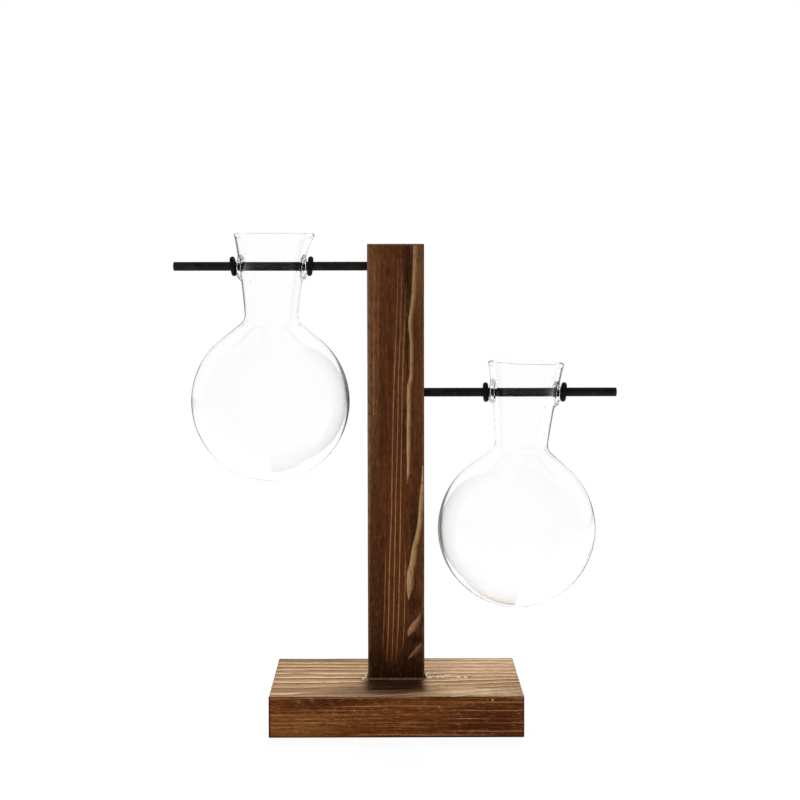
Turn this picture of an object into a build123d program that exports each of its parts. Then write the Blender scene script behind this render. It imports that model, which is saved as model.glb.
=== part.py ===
from build123d import *
import os
from math import cos, radians, sin, tan

os.makedirs("parts", exist_ok=True)

# A stand with two glass bulbs hung on rods, for rooting cuttings in water.
# Millimetres. Origin: middle of the base's underside. +Z up, +X right, -Y front.

# Base board, lying flat
base_length = 125.0
base_depth = 90.0
base_thickness = 20.7
base_edge_round = 0.6

# Post, standing on the middle of the board
post_width = 28.5
post_depth = 20.0
post_height = 220.0
post_top_round = 1.0
post_side_round = 0.5

# Steel rods, one out of each side of the post, glued into blind holes
rod_diameter = 4.5
rod_reach = 97.35
rod_sink = 16.5
rod_end_round = 0.5
glue_gap = 0.05
left_rod_below_top = 11.1
right_rod_below_top = 74.7

# Countersunk wood screws, up through the base into the post's end grain
screw_pitch = 14.0
screw_length = 50.0
screw_shank_diameter = 4.0
screw_core_diameter = 3.0
screw_head_diameter = 8.0
screw_head_rim = 0.5
screw_shank_length = 22.0
screw_point_length = 5.0
screw_tip_diameter = 0.8
screw_head_recess = 1.0
screw_hole_gap = 0.25
screw_core_gap = 0.03
pilot_end_gap = 1.0
cross_slot_length = 4.6
cross_slot_width = 1.1
cross_slot_depth = 2.0

# Blown glass bulbs: a sphere, a straight shoulder, a flared neck and a melted rim
bulb_diameter = 80.0
glass_wall = 1.3
shoulder_angle = 39.0
waist_radius = 13.15
shoulder_round = 6.0
neck_middle_radius = 15.8
neck_middle_height_share = 0.54
rim_radius = 19.2
neck_length = 43.7
rim_bead_diameter = 2.0

# Melted hole through both sides of each neck, which hangs on the rod
hole_diameter = 7.0
lip_bead_diameter = 2.8
lip_stand_off = 0.4
hang_gap = 0.05
left_hole_below_rim = 17.4
right_hole_below_rim = 15.5

# Where the bulbs hang, out from the post's sides, and how far each leans off plumb
left_bulb_out = 47.9
right_bulb_out = 50.8
left_lean = 0.9
right_lean = 3.15

# Rubber rings that grip the rod and keep each neck in place
ring_cord_diameter = 2.65
ring_rod_gap = 0.1
ring_seat_gap = 0.2
left_outer_tilt = 7.0
left_inner_tilt = 5.0
right_inner_tilt = 2.0
right_outer_tilt = 5.0

# One overrun serves every cut
overrun = 2.0

# Places that follow from the sizes above
post_top = base_thickness + post_height
post_face = post_width / 2
rod_radius = rod_diameter / 2
bulb_radius = bulb_diameter / 2
hole_radius = hole_diameter / 2
lip_bead_radius = lip_bead_diameter / 2
lip_core_radius = hole_radius + lip_bead_radius
rim_bead_radius = rim_bead_diameter / 2
left_rod_height = post_top - left_rod_below_top
right_rod_height = post_top - right_rod_below_top
screw_places = (-screw_pitch / 2, screw_pitch / 2)


def shoulder_start(inset):
    """Radius and height where the sphere, moved in by inset, turns into the straight shoulder."""
    radius = bulb_radius - inset
    return radius * sin(radians(shoulder_angle)), radius * cos(radians(shoulder_angle))


def waist_corner(inset):
    """Radius and height of the corner between shoulder and neck, before it is rounded."""
    start_radius, start_height = shoulder_start(inset)
    radius = waist_radius - inset
    return radius, start_height + (start_radius - radius) * tan(radians(shoulder_angle))


waist_height = waist_corner(0)[1]
rim_height = waist_height + neck_length
neck_middle_height = waist_height + neck_length * neck_middle_height_share


def neck_radius_at(height):
    """Outer radius of the neck, an arc through its waist, middle and rim, at one height."""
    waist = Vector(waist_radius, waist_height)
    middle = Vector(neck_middle_radius, neck_middle_height)
    rim = Vector(rim_radius, rim_height)
    arc = ThreePointArc(waist, middle, rim)
    level = Line((0, height), (bulb_diameter, height))
    return arc.intersect(level).vertices()[0].X


def glass_section(inset, top):
    """Half section of the bulb, moved in by inset and open at the given height."""
    radius = bulb_radius - inset
    start_radius, start_height = shoulder_start(inset)
    corner_radius, corner_height = waist_corner(inset)
    half_angle = radians((180 + shoulder_angle) / 2)
    belly = (radius * sin(half_angle), radius * cos(half_angle))
    bowl = ThreePointArc((0, -radius), belly, (start_radius, start_height))
    shoulder = Line((start_radius, start_height), (corner_radius, corner_height))
    neck = ThreePointArc(
        (corner_radius, corner_height),
        (neck_middle_radius - inset, neck_middle_height),
        (rim_radius - inset, rim_height),
    )
    lines = [bowl, shoulder, neck]
    if top > rim_height:
        lines.append(Line((rim_radius - inset, rim_height), (rim_radius - inset, top)))
    lines.append(Line(lines[-1] @ 1, (0, top)))
    lines.append(Line((0, top), (0, -radius)))
    flat = make_face(lines)
    corner = flat.vertices().sort_by_distance((corner_radius, corner_height))[0]
    return Plane.XZ * fillet(corner, shoulder_round + inset)


def hole_places(hole_height):
    """Distance from the bulb's axis to the middle of each lip, left and right."""
    wall_middle = neck_radius_at(hole_height) - glass_wall / 2
    return -(wall_middle + lip_stand_off), wall_middle + lip_stand_off


def glass_bulb(hole_height):
    """One bulb, upright, with its sphere's centre at the origin."""
    edge_height = rim_height - rim_bead_radius
    shell = revolve(glass_section(0, rim_height), Axis.Z)
    shell -= revolve(glass_section(glass_wall, rim_height + overrun), Axis.Z)
    shell -= Pos(0, 0, edge_height + overrun) * Cylinder(rim_radius + overrun, overrun * 2)
    edge_radius = rim_radius - rim_bead_radius
    shell += Pos(0, 0, edge_height) * Torus(edge_radius, rim_bead_radius)
    through = Rot(0, 90, 0) * Cylinder(lip_core_radius, (rim_radius + overrun) * 2)
    shell -= Pos(0, 0, hole_height) * through
    for place in hole_places(hole_height):
        shell += Pos(place, 0, hole_height) * Rot(0, 90, 0) * Torus(lip_core_radius, lip_bead_radius)
    return shell


def lip_drop(hole_height, lean):
    """How far one lip sinks below the other's level when the bulb leans."""
    return hole_places(hole_height)[1] * sin(radians(lean))


def hang_drop(hole_height, lean):
    """How far the bulb's holes hang below the rod's centre, measured on the bulb's axis."""
    bore = lip_core_radius * cos(radians(lean)) - lip_bead_radius
    return bore - rod_radius - hang_gap - lip_drop(hole_height, lean)


def hung_bulb(side, out, rod_height, hole_below_rim, lean):
    """One bulb hanging on its rod: side is -1 for the left one and 1 for the right one."""
    hole_height = rim_height - hole_below_rim
    drop = hang_drop(hole_height, lean)
    upright = Pos(0, 0, -hole_height) * glass_bulb(hole_height)
    return Pos(side * (post_face + out), 0, rod_height - drop) * Rot(0, lean, 0) * upright


def rubber_ring(side, out, rod_height, hole_below_rim, lean, tilt, outer):
    """One ring on the rod beside a lip; outer is 1 on the rod's free end side, else -1."""
    hole_height = rim_height - hole_below_rim
    cord_radius = ring_cord_diameter / 2
    core_radius = rod_radius + ring_rod_gap + cord_radius
    lip_reach = hole_places(hole_height)[1] + lip_bead_radius
    lip_reach += lip_core_radius * sin(radians(lean)) + ring_seat_gap
    reach = lip_reach + cord_radius + core_radius * sin(radians(tilt))
    direction = side * outer
    place = side * (post_face + out) + direction * reach
    square = Rot(0, 90, 0) * Torus(core_radius, cord_radius)
    return Pos(place, 0, rod_height) * Rot(0, direction * tilt, 0) * square


def rod(side, rod_height):
    """One straight rod, from the bottom of its blind hole to its rounded free end."""
    length = rod_sink + rod_reach
    bar = Cylinder(rod_radius, length, align=(Align.CENTER, Align.CENTER, Align.MIN))
    bar = fillet(bar.edges().sort_by(Axis.Z)[-1], rod_end_round)
    start = side * (post_face - rod_sink)
    return Pos(start, 0, rod_height) * Rot(0, side * 90, 0) * bar


def rod_hole(side, rod_height):
    """Blind hole in the post for one rod, with room for glue and running out of the side."""
    depth = rod_sink + overrun
    bore = Cylinder(rod_radius + glue_gap, depth, align=(Align.CENTER, Align.CENTER, Align.MIN))
    start = side * (post_face - rod_sink)
    return Pos(start, 0, rod_height) * Rot(0, side * 90, 0) * bore


def screw_outline(gap, core_gap, end_gap, foot):
    """Half section of a screw, or of the hole it needs when the gaps are not zero."""
    head_radius = screw_head_diameter / 2 + gap
    shank_radius = screw_shank_diameter / 2 + gap
    core_radius = screw_core_diameter / 2 + core_gap
    head_low = screw_head_recess
    cone_low = head_low + screw_head_rim
    cone_high = cone_low + head_radius - shank_radius
    shank_high = head_low + screw_shank_length + end_gap
    point_low = head_low + screw_length - screw_point_length + end_gap
    tip = head_low + screw_length + end_gap
    points = [
        (0, foot),
        (head_radius, foot),
        (head_radius, cone_low),
        (shank_radius, cone_high),
        (shank_radius, shank_high),
        (core_radius, shank_high),
        (core_radius, point_low),
        (screw_tip_diameter / 2, tip),
        (0, tip),
    ]
    return Plane.XZ * make_face(Polyline(points, close=True))


def wood_screw():
    """One screw, point up, with a cross slot in its head."""
    body = revolve(screw_outline(0, 0, 0, screw_head_recess), Axis.Z)
    slot_height = cross_slot_depth * 2
    slot = Box(cross_slot_length, cross_slot_width, slot_height)
    slot += Box(cross_slot_width, cross_slot_length, slot_height)
    return body - Pos(0, 0, screw_head_recess) * slot


def screw_hole():
    """The hole one screw needs, running out of the base's underside."""
    return revolve(screw_outline(screw_hole_gap, screw_core_gap, pilot_end_gap, -overrun), Axis.Z)


def base_board():
    """The board, its edges eased, with two countersunk holes from below."""
    board = Box(
        base_length, base_depth, base_thickness, align=(Align.CENTER, Align.CENTER, Align.MIN)
    )
    board = fillet(board.edges(), base_edge_round)
    for place in screw_places:
        board -= Pos(place, 0, 0) * screw_hole()
    return board


def post():
    """The post, its long and top edges eased, with rod holes and screw pilot holes."""
    bar = Box(post_width, post_depth, post_height, align=(Align.CENTER, Align.CENTER, Align.MIN))
    bar = fillet(bar.edges().filter_by(Axis.Z), post_side_round)
    bar = fillet(bar.faces().sort_by(Axis.Z)[-1].edges(), post_top_round)
    bar = Pos(0, 0, base_thickness) * bar
    for place in screw_places:
        bar -= Pos(place, 0, 0) * screw_hole()
    bar -= rod_hole(-1, left_rod_height)
    bar -= rod_hole(1, right_rod_height)
    return bar


left_hang = (-1, left_bulb_out, left_rod_height, left_hole_below_rim, left_lean)
right_hang = (1, right_bulb_out, right_rod_height, right_hole_below_rim, right_lean)

nodes = {
    "base": base_board(),
    "post": post(),
    "base_screws": Compound(children=[Pos(place, 0, 0) * wood_screw() for place in screw_places]),
    "left_rod": rod(-1, left_rod_height),
    "right_rod": rod(1, right_rod_height),
    "left_bulb": hung_bulb(*left_hang),
    "right_bulb": hung_bulb(*right_hang),
    "left_outer_ring": rubber_ring(*left_hang, left_outer_tilt, 1),
    "left_inner_ring": rubber_ring(*left_hang, left_inner_tilt, -1),
    "right_inner_ring": rubber_ring(*right_hang, right_inner_tilt, -1),
    "right_outer_ring": rubber_ring(*right_hang, right_outer_tilt, 1),
}

for name, shape in nodes.items():
    export_step(shape, f"parts/{name}.step")
    box = shape.bounding_box()
    print(name, len(shape.solids()), round(shape.volume, 1), box.min, box.max)
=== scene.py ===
"""Looks of a propagation vase: a charred pine stand with two blown glass bulbs hung on black rods.

Sizes are in millimetres and are turned into metres where a mesh is made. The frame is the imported
part: +Z up, -Y front, and its origin in the middle of the base's underside.
"""

import logging
import math
from contextlib import contextmanager
from dataclasses import dataclass
from enum import Enum
from functools import cached_property, reduce
from typing import Callable, Iterator, Sequence, Union

import bmesh
import bpy
import numpy as np
from mathutils import Matrix, Vector


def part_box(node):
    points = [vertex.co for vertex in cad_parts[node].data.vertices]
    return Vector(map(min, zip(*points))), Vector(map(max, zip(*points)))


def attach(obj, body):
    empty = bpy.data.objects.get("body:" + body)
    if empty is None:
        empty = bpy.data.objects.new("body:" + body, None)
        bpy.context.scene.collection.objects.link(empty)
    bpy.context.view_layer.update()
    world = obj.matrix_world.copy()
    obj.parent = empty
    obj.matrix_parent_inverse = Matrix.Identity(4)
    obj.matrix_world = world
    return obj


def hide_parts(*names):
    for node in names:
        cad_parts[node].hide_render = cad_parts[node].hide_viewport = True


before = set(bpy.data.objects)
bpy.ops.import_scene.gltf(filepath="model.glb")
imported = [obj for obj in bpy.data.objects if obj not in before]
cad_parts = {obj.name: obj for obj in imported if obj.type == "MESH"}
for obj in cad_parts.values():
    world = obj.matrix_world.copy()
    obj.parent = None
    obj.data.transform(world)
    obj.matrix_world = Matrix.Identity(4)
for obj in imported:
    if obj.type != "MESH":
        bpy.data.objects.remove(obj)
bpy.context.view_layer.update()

MM = 0.001
WELD = 1e-6
EDGE = "edge"
POST_SIDE = "post_side"
SCREW_PLACES = (-7.0, 7.0)

Triple = tuple[float, float, float]
Colour = tuple[float, float, float, float]
Pairs = tuple[tuple[float, float], ...]
Piece = bpy.types.Object
log = logging.getLogger("vase")


class Axis(Enum):
    """One of the frame's three directions, by its place in a vector."""

    X = 0
    Y = 1
    Z = 2


class Named(Enum):
    """A choice whose name is a word in the nodes' names."""

    @property
    def word(self) -> str:
        """The name as the nodes spell it."""
        return self.name.lower()


class Side(Named):
    """Which side of the post a piece hangs on, as a sign along X."""

    LEFT = -1
    RIGHT = 1


class Seat(Named):
    """Which side of its neck a rubber ring sits on: towards the rod's free end, or towards the post."""

    OUTER = 1
    INNER = -1


def tone(red: int, green: int, blue: int) -> Colour:
    """A colour as a paint chart gives it.

    Args:
        red: red from 0 to 255.
        green: green from 0 to 255.
        blue: blue from 0 to 255.

    Returns:
        The colour in the linear light that shaders work in, with full alpha.
    """
    linear = []
    for part in (red / 255, green / 255, blue / 255):
        linear.append(part / 12.92 if part <= 0.04045 else ((part + 0.055) / 1.055) ** 2.4)
    return linear[0], linear[1], linear[2], 1.0


def eased(share: Union[float, np.ndarray]) -> Union[float, np.ndarray]:
    """A share from 0 to 1 that starts and ends gently."""
    return share * share * (3 - 2 * share)


def operator(operation: str, reflected: bool = False) -> Callable[..., "Flow"]:
    """Makes one of Flow's methods.

    Args:
        operation: the operation of the Math node that the method adds.
        reflected: whether the other value comes first.

    Returns:
        The method.
    """

    def method(flow: "Flow", other: "Value" = 0.0) -> "Flow":
        """Adds the Math node on this output and another value."""
        first, second = (other, flow) if reflected else (flow, other)
        return flow.sheet.node("ShaderNodeMath", {"operation": operation}, {0: first, 1: second})

    return method


class Flow:
    """An output of a node tree that takes part in ordinary arithmetic."""

    __add__, __radd__ = operator("ADD"), operator("ADD", reflected=True)
    __sub__, __rsub__ = operator("SUBTRACT"), operator("SUBTRACT", reflected=True)
    __mul__, __rmul__ = operator("MULTIPLY"), operator("MULTIPLY", reflected=True)
    __truediv__, __abs__ = operator("DIVIDE"), operator("ABSOLUTE")
    least, most = operator("MINIMUM"), operator("MAXIMUM")
    root, sine, fraction = operator("SQRT"), operator("SINE"), operator("FRACT")

    def __init__(self, sheet: "NodeSheet", out: bpy.types.NodeSocket) -> None:
        """Wraps one output of a sheet."""
        self.sheet, self.out = sheet, out

    def from_whole(self) -> "Flow":
        """Distance to the nearest whole number, from 0 to a half."""
        return abs((self + 0.5).fraction() - 0.5)

    def step(self, low: float, high: float) -> "Flow":
        """Rises smoothly from 0 at low to 1 at high, or falls where low is the larger.

        Args:
            low: the value at which it is 0.
            high: the value at which it is 1.

        Returns:
            The step.
        """
        settings = {"interpolation_type": "SMOOTHSTEP", "clamp": True}
        flip = low > high
        ends = {1: min(low, high), 2: max(low, high), 3: float(flip), 4: float(not flip)}
        return self.sheet.node("ShaderNodeMapRange", settings, {0: self, **ends})

    def between(self, stations: Pairs, margin: float, fade_in: float, fade_out: float) -> "Flow":
        """1 along a line of stations, fading from a margin beyond its ends to a distance inside them."""
        low, high = stations[0][0], stations[-1][0]
        return self.step(low - margin, low + fade_in) * self.step(high + margin, high - fade_out)


Value = Union[Flow, float]


class NodeSheet:
    """The node tree of a material or of the world, and the few ways in which nodes are added to it."""

    def __init__(self, owner: Union[bpy.types.Material, bpy.types.World]) -> None:
        """Empties the owner's tree.

        Args:
            owner: the material or the world.
        """
        owner.use_nodes = True
        self.owner, self.tree = owner, owner.node_tree
        self.tree.nodes.clear()

    @classmethod
    def named(cls, name: str) -> "NodeSheet":
        """The sheet of a new material of that name."""
        return cls(bpy.data.materials.new(name))

    def node(
        self, kind: str, settings: dict | None = None, inputs: dict | None = None, out: int | str = 0
    ) -> Flow:
        """Adds one node.

        Args:
            kind: the node's type.
            settings: its settings; "points" lists a curve's (x, y).
            inputs: plain values to set or Flows to link, by socket name or number.
            out: which output to hand back.

        Returns:
            That output.
        """
        made = self.tree.nodes.new(kind)
        for key, value in (settings or {}).items():
            if key == "points":
                self._set_points(made, value)
            else:
                setattr(made, key, value)
        for key, value in (inputs or {}).items():
            if isinstance(value, Flow):
                self.tree.links.new(value.out, made.inputs[key])
            else:
                made.inputs[key].default_value = value
        return Flow(self, made.outputs[out] if made.outputs else None)

    @staticmethod
    def _set_points(curve: bpy.types.Node, points: Sequence[tuple[float, float]]) -> None:
        """Gives a float curve its points, which run from 0 to 1 both ways.

        Args:
            curve: the Float Curve node.
            points: its (x, y) points.
        """
        line = curve.mapping.curves[0]
        for place, height in points[1:-1]:
            line.points.new(place, height)
        for point, (place, height) in zip(line.points, points):
            point.location = (place, height)
        curve.mapping.update()

    @cached_property
    def place(self) -> Flow:
        """The surface point in the part's frame, in millimetres."""
        spot = self.node("ShaderNodeTexCoord", out="Object")
        return self.node("ShaderNodeVectorMath", {"operation": "SCALE"}, {0: spot, "Scale": 1 / MM})

    @cached_property
    def parts(self) -> list[Flow]:
        """The surface point's three parts, in millimetres."""
        return self.split(self.place)

    def split(self, vector: Flow) -> list[Flow]:
        """A vector's three parts."""
        first = self.node("ShaderNodeSeparateXYZ", inputs={0: vector})
        return [Flow(self, first.out.node.outputs[number]) for number in range(3)]

    def vector(self, operation: str, first: object, second: object) -> Flow:
        """Adds one Vector Math node on two vectors."""
        return self.node("ShaderNodeVectorMath", {"operation": operation}, {0: first, 1: second})

    def span(self, middle: Triple = (0, 0, 0), reach: Triple = (1, 1, 1)) -> Flow:
        """How far the surface point is from the middle of a patch, counted in the patch's reach."""
        offset = self.vector("DIVIDE", self.vector("SUBTRACT", self.place, middle), reach)
        return self.node("ShaderNodeVectorMath", {"operation": "LENGTH"}, {0: offset}, out="Value")

    def mix(self, first: object, second: object, share: Value, blend: str = "MIX") -> Flow:
        """Blends two colours; share is how much of the second shows."""
        settings = {"data_type": "RGBA", "blend_type": blend}
        return self.node("ShaderNodeMix", settings, {0: share, 6: first, 7: second}, out=2)

    def tint(self, first: object, second: object, share: Value) -> Flow:
        """Multiplies a colour by a second one, as much as share says."""
        return self.mix(first, second, share, "MULTIPLY")

    def noise(
        self, where: Flow, scale: float, detail: float = 2.0, roughness: float = 0.5, twist: float = 0.0
    ) -> Flow:
        """Cloudy noise from 0 to 1.

        Args:
            where: the point it is read at.
            scale: how many lumps there are in one unit of where.
            detail: how many finer layers are added.
            roughness: how strong the finer layers are.
            twist: how much the pattern is distorted.

        Returns:
            The noise.
        """
        named = {"Vector": where, "Scale": scale, "Detail": detail, "Roughness": roughness}
        return self.node("ShaderNodeTexNoise", inputs={**named, "Distortion": twist})

    def route(self, along: Flow, stations: Pairs) -> Flow:
        """A line drawn through a few given stations.

        Args:
            along: the place along the line's length.
            stations: (place, value) pairs in rising order of place.

        Returns:
            The line's value at that place.
        """
        values = [value for _, value in stations]
        low, reach = min(values), max(max(values) - min(values), 1e-3)
        start = stations[0][0]
        length = stations[-1][0] - start
        points = [((p - start) / length, (v - low) / reach) for p, v in stations]
        share = (along - start) / length
        return self.node("ShaderNodeFloatCurve", {"points": points}, {"Value": share}) * reach + low

    def bump(self, height: Flow, strength: float = 1.0) -> Flow:
        """Surface normals for a relief whose height is in millimetres."""
        given = {"Height": height, "Distance": MM, "Strength": strength}
        return self.node("ShaderNodeBump", inputs=given, out="Normal")

    def surface(self, colour: object, rough: Value, more: dict) -> Flow:
        """A Principled shader of this colour and roughness; more holds its other inputs."""
        inputs = {"Base Color": colour, "Roughness": rough, **more}
        return self.node("ShaderNodeBsdfPrincipled", {"distribution": "GGX"}, inputs)

    def blend(self, share: Value, first: Flow, second: Flow) -> Flow:
        """Mixes two shaders; share is how much of the second shows."""
        return self.node("ShaderNodeMixShader", inputs={0: share, 1: first, 2: second})

    def ray(self, *names: str) -> Flow:
        """1 for rays of these kinds, by their names on the Light Path node."""
        return reduce(Flow.most, [self.node("ShaderNodeLightPath", out=name) for name in names])

    def finish(
        self, shader: Flow, output: str = "ShaderNodeOutputMaterial"
    ) -> Union[bpy.types.Material, bpy.types.World]:
        """Ends the sheet in its output node and hands its owner back."""
        self.node(output, inputs={"Surface": shader})
        return self.owner


def only(piece: Piece) -> None:
    """Makes the piece the one selected and active object.

    Args:
        piece: the piece.
    """
    bpy.ops.object.select_all(action="DESELECT")
    piece.select_set(True)
    bpy.context.view_layer.objects.active = piece


def add(name: str, primitive: Callable[..., object], **settings: object) -> Piece:
    """Adds a primitive with everything else deselected, and puts its place and turn into its mesh.

    Args:
        name: the new piece's name.
        primitive: the operator that adds it.
        settings: the operator's settings.

    Returns:
        The piece.
    """
    bpy.ops.object.select_all(action="DESELECT")
    primitive(**settings)
    piece = bpy.context.active_object
    piece.name = piece.data.name = name
    only(piece)
    bpy.ops.object.transform_apply(location=True, rotation=True, scale=True)
    return piece


@contextmanager
def editing(piece: Piece, action: str = "DESELECT") -> Iterator[None]:
    """Opens a piece in edit mode with nothing selected, or with SELECT all of it, and closes it again.

    Args:
        piece: the piece.
        action: SELECT or DESELECT.

    Returns:
        A context in which the piece is open.
    """
    only(piece)
    bpy.ops.object.mode_set(mode="EDIT")
    bpy.ops.mesh.select_mode(type="VERT")
    bpy.ops.mesh.select_all(action=action)
    yield
    bpy.ops.object.mode_set(mode="OBJECT")


@contextmanager
def picking(piece: Piece, kind: str) -> Iterator[bmesh.types.BMesh]:
    """Hands out a piece's mesh in edit mode, for code to select its parts of one kind.

    Args:
        piece: the piece.
        kind: EDGE or FACE.

    Returns:
        A context that holds the open mesh.
    """
    bpy.ops.mesh.select_mode(type=kind)
    bpy.ops.mesh.select_all(action="DESELECT")
    loose = bmesh.from_edit_mesh(piece.data)
    yield loose
    loose.select_flush_mode()
    bmesh.update_edit_mesh(piece.data)


def pick_edges(piece: Piece, wanted: Callable[[Vector, Vector], bool]) -> None:
    """Selects the edges of a piece in edit mode whose two ends pass a test.

    Args:
        piece: the piece.
        wanted: the test.
    """
    with picking(piece, "EDGE") as loose:
        for edge in loose.edges:
            edge.select = wanted(edge.verts[0].co, edge.verts[1].co)


def pick_faces(piece: Piece, wanted: Callable[[Vector, Vector], bool]) -> None:
    """Selects the faces of a piece in edit mode whose middle and normal pass a test.

    Args:
        piece: the piece.
        wanted: the test.
    """
    with picking(piece, "FACE") as loose:
        for face in loose.faces:
            face.select = wanted(face.calc_center_median(), face.normal)


def weld(piece: Piece) -> None:
    """Merges a piece's doubled points and turns its faces outwards.

    Args:
        piece: the piece.
    """
    with editing(piece, "SELECT"):
        bpy.ops.mesh.remove_doubles(threshold=WELD)
        bpy.ops.mesh.normals_make_consistent(inside=False)


def move(piece: Piece, matrix: Matrix) -> None:
    """Moves a piece within its own mesh."""
    piece.data.transform(matrix)
    piece.data.update()


def rows_of(piece: Piece, what: str) -> np.ndarray:
    """A piece's points (co, in metres) or its normals at them (normal), one row each.

    Args:
        piece: the piece.
        what: co or normal.

    Returns:
        The rows.
    """
    flat = np.empty(len(piece.data.vertices) * 3)
    piece.data.vertices.foreach_get(what, flat)
    return flat.reshape(-1, 3)


def points_of(piece: Piece) -> np.ndarray:
    """A piece's points in millimetres, one row each."""
    return rows_of(piece, "co") / MM


def set_points(piece: Piece, points: np.ndarray) -> None:
    """Puts points in millimetres back into a piece."""
    piece.data.vertices.foreach_set("co", (points * MM).ravel())
    piece.data.update()


def cut(piece: Piece, tool: Piece) -> None:
    """Cuts a tool's shape out of a piece and throws the tool away.

    Args:
        piece: the piece.
        tool: the cutter.
    """
    only(piece)
    modifier = piece.modifiers.new("cut", "BOOLEAN")
    modifier.object = tool
    modifier.operation = "DIFFERENCE"
    modifier.solver = "EXACT"
    bpy.ops.object.modifier_apply(modifier=modifier.name)
    bpy.data.objects.remove(tool)


def join(pieces: Sequence[Piece], name: str) -> Piece:
    """Joins pieces into the first one and names it.

    Args:
        pieces: the pieces.
        name: the finished piece's name.

    Returns:
        The joined piece.
    """
    only(pieces[0])
    for piece in pieces:
        piece.select_set(True)
    bpy.ops.object.join()
    joined = bpy.context.active_object
    joined.name = joined.data.name = name
    return joined


def drawn(name: str, path: Sequence[Vector]) -> Piece:
    """Draws a line of edges through points in millimetres, from a plane merged to one point.

    Args:
        name: the finished piece's name.
        path: the points, mm.

    Returns:
        The line.
    """
    piece = add(name, bpy.ops.mesh.primitive_plane_add, size=MM)
    path = [point * MM for point in path]
    with editing(piece, "SELECT"):
        bpy.ops.mesh.merge(type="CENTER")
        bpy.ops.transform.translate(value=path[0])
        for before, after in zip(path, path[1:]):
            bpy.ops.mesh.extrude_vertices_move(TRANSFORM_OT_translate={"value": after - before})
    return piece


def turned(name: str, outline: Sequence[tuple[float, float]], sides: int) -> Piece:
    """Turns an outline round the upright axis, as on a lathe.

    Args:
        name: the piece's name.
        outline: (radius, height) pairs in millimetres.
        sides: how many steps the turn has.

    Returns:
        The turned piece, its doubles merged and its faces outwards.
    """
    piece = drawn(name, [Vector((radius, 0, height)) for radius, height in outline])
    with editing(piece, "SELECT"):
        bpy.ops.mesh.spin(steps=sides, angle=math.tau, center=(0, 0, 0), axis=(0, 0, 1))
    weld(piece)
    return piece


def bar(name: str, middle: Vector, length: float, radius: float, sides: int) -> Piece:
    """A round bar along X, its sizes in metres."""
    sizes = {"vertices": sides, "radius": radius, "depth": length, "location": middle}
    return add(name, bpy.ops.mesh.primitive_cylinder_add, rotation=(0, math.pi / 2, 0), **sizes)


def paint(piece: Piece, material: bpy.types.Material) -> None:
    """Gives a whole piece one material.

    Args:
        piece: the piece.
        material: its material.
    """
    piece.data.materials.clear()
    piece.data.materials.append(material)
    for face in piece.data.polygons:
        face.material_index = 0


def install(
    piece: Piece, crease: float, material: bpy.types.Material, body: str, slot: str | None, *replaced: str
) -> None:
    """Shades and dresses a finished piece, ties it to the frame and reports it.

    Args:
        piece: the piece, in place.
        crease: edges flatter than this are shaded smooth, degrees.
        material: its material.
        body: the body that it moves with.
        slot: the record's material slot that matches its finish, if one fits; not used.
        replaced: the nodes that it stands for.
    """
    only(piece)
    bpy.ops.object.shade_smooth_by_angle(angle=math.radians(crease))
    paint(piece, material)
    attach(piece, body)
    if replaced:
        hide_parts(*replaced)
    log.info("%s rides on %s: %d faces", piece.name, body, len(piece.data.polygons))


@dataclass(frozen=True)
class Wave:
    """One slow bend of the growth rings along the grain.

    Fields:
        height: how far it moves the rings, in ring widths.
        length: its wavelength along the grain, mm.
        slant: how much it turns across the board, radians per mm.
        start: its phase, radians.
    """

    height: float
    length: float
    slant: float
    start: float


@dataclass(frozen=True)
class Rings:
    """Growth rings of one sawn piece: distance from the tree's pith, counted in ring widths.

    Fields:
        along: the axis that the grain follows.
        across: the first axis across it.
        away: the second axis across it.
        pith_across: where the pith lies on the first, mm, at the start of the grain.
        pith_away: where it lies on the second, mm.
        drift: how far the pith wanders on the first axis for each mm of grain.
        width: one ring's width, mm.
        start: the count at which a ring line falls, as a share of a ring.
        waves: the slow bends.
    """

    along: Axis
    across: Axis
    away: Axis
    pith_across: float
    pith_away: float
    drift: float
    width: float
    start: float
    waves: tuple[Wave, ...]

    def count(self, points: np.ndarray) -> np.ndarray:
        """The ring count at each point of a mesh, in mm.

        Args:
            points: the mesh's points, mm.

        Returns:
            One count for each point.
        """
        along = points[:, self.along.value]
        across = points[:, self.across.value] - self.pith_across - self.drift * along
        away = points[:, self.away.value] - self.pith_away
        count = np.hypot(across, away) / self.width - self.start
        for wave in self.waves:
            turn = along * math.tau / wave.length + points[:, self.away.value] * wave.slant
            count += wave.height * np.sin(turn + points[:, self.across.value] * wave.slant + wave.start)
        return count

    def flow(self, sheet: NodeSheet) -> Flow:
        """The same count as nodes, at the surface point.

        Args:
            sheet: the node sheet.

        Returns:
            The count.
        """
        along, side, depth = (sheet.parts[axis.value] for axis in (self.along, self.across, self.away))
        across = side - self.pith_across - along * self.drift
        away = depth - self.pith_away
        count = (across * across + away * away).root() / self.width - self.start
        for wave in self.waves:
            turn = along * (math.tau / wave.length) + depth * wave.slant + side * wave.slant
            count = count + (turn + wave.start).sine() * wave.height
        return count


@dataclass(frozen=True)
class Stain:
    """A soft patch of another tone in the wood, mm: most are the wood's own stains, some are painted
    shade.
    """

    place: Triple
    reach: Triple
    colour: Colour
    strength: float

    def lay(self, sheet: NodeSheet, under: Flow) -> Flow:
        """Mixes the stain over a colour."""
        distance = sheet.span(self.place, self.reach)
        return sheet.mix(under, self.colour, distance.step(1.0, 0.15) * self.strength)


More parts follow.
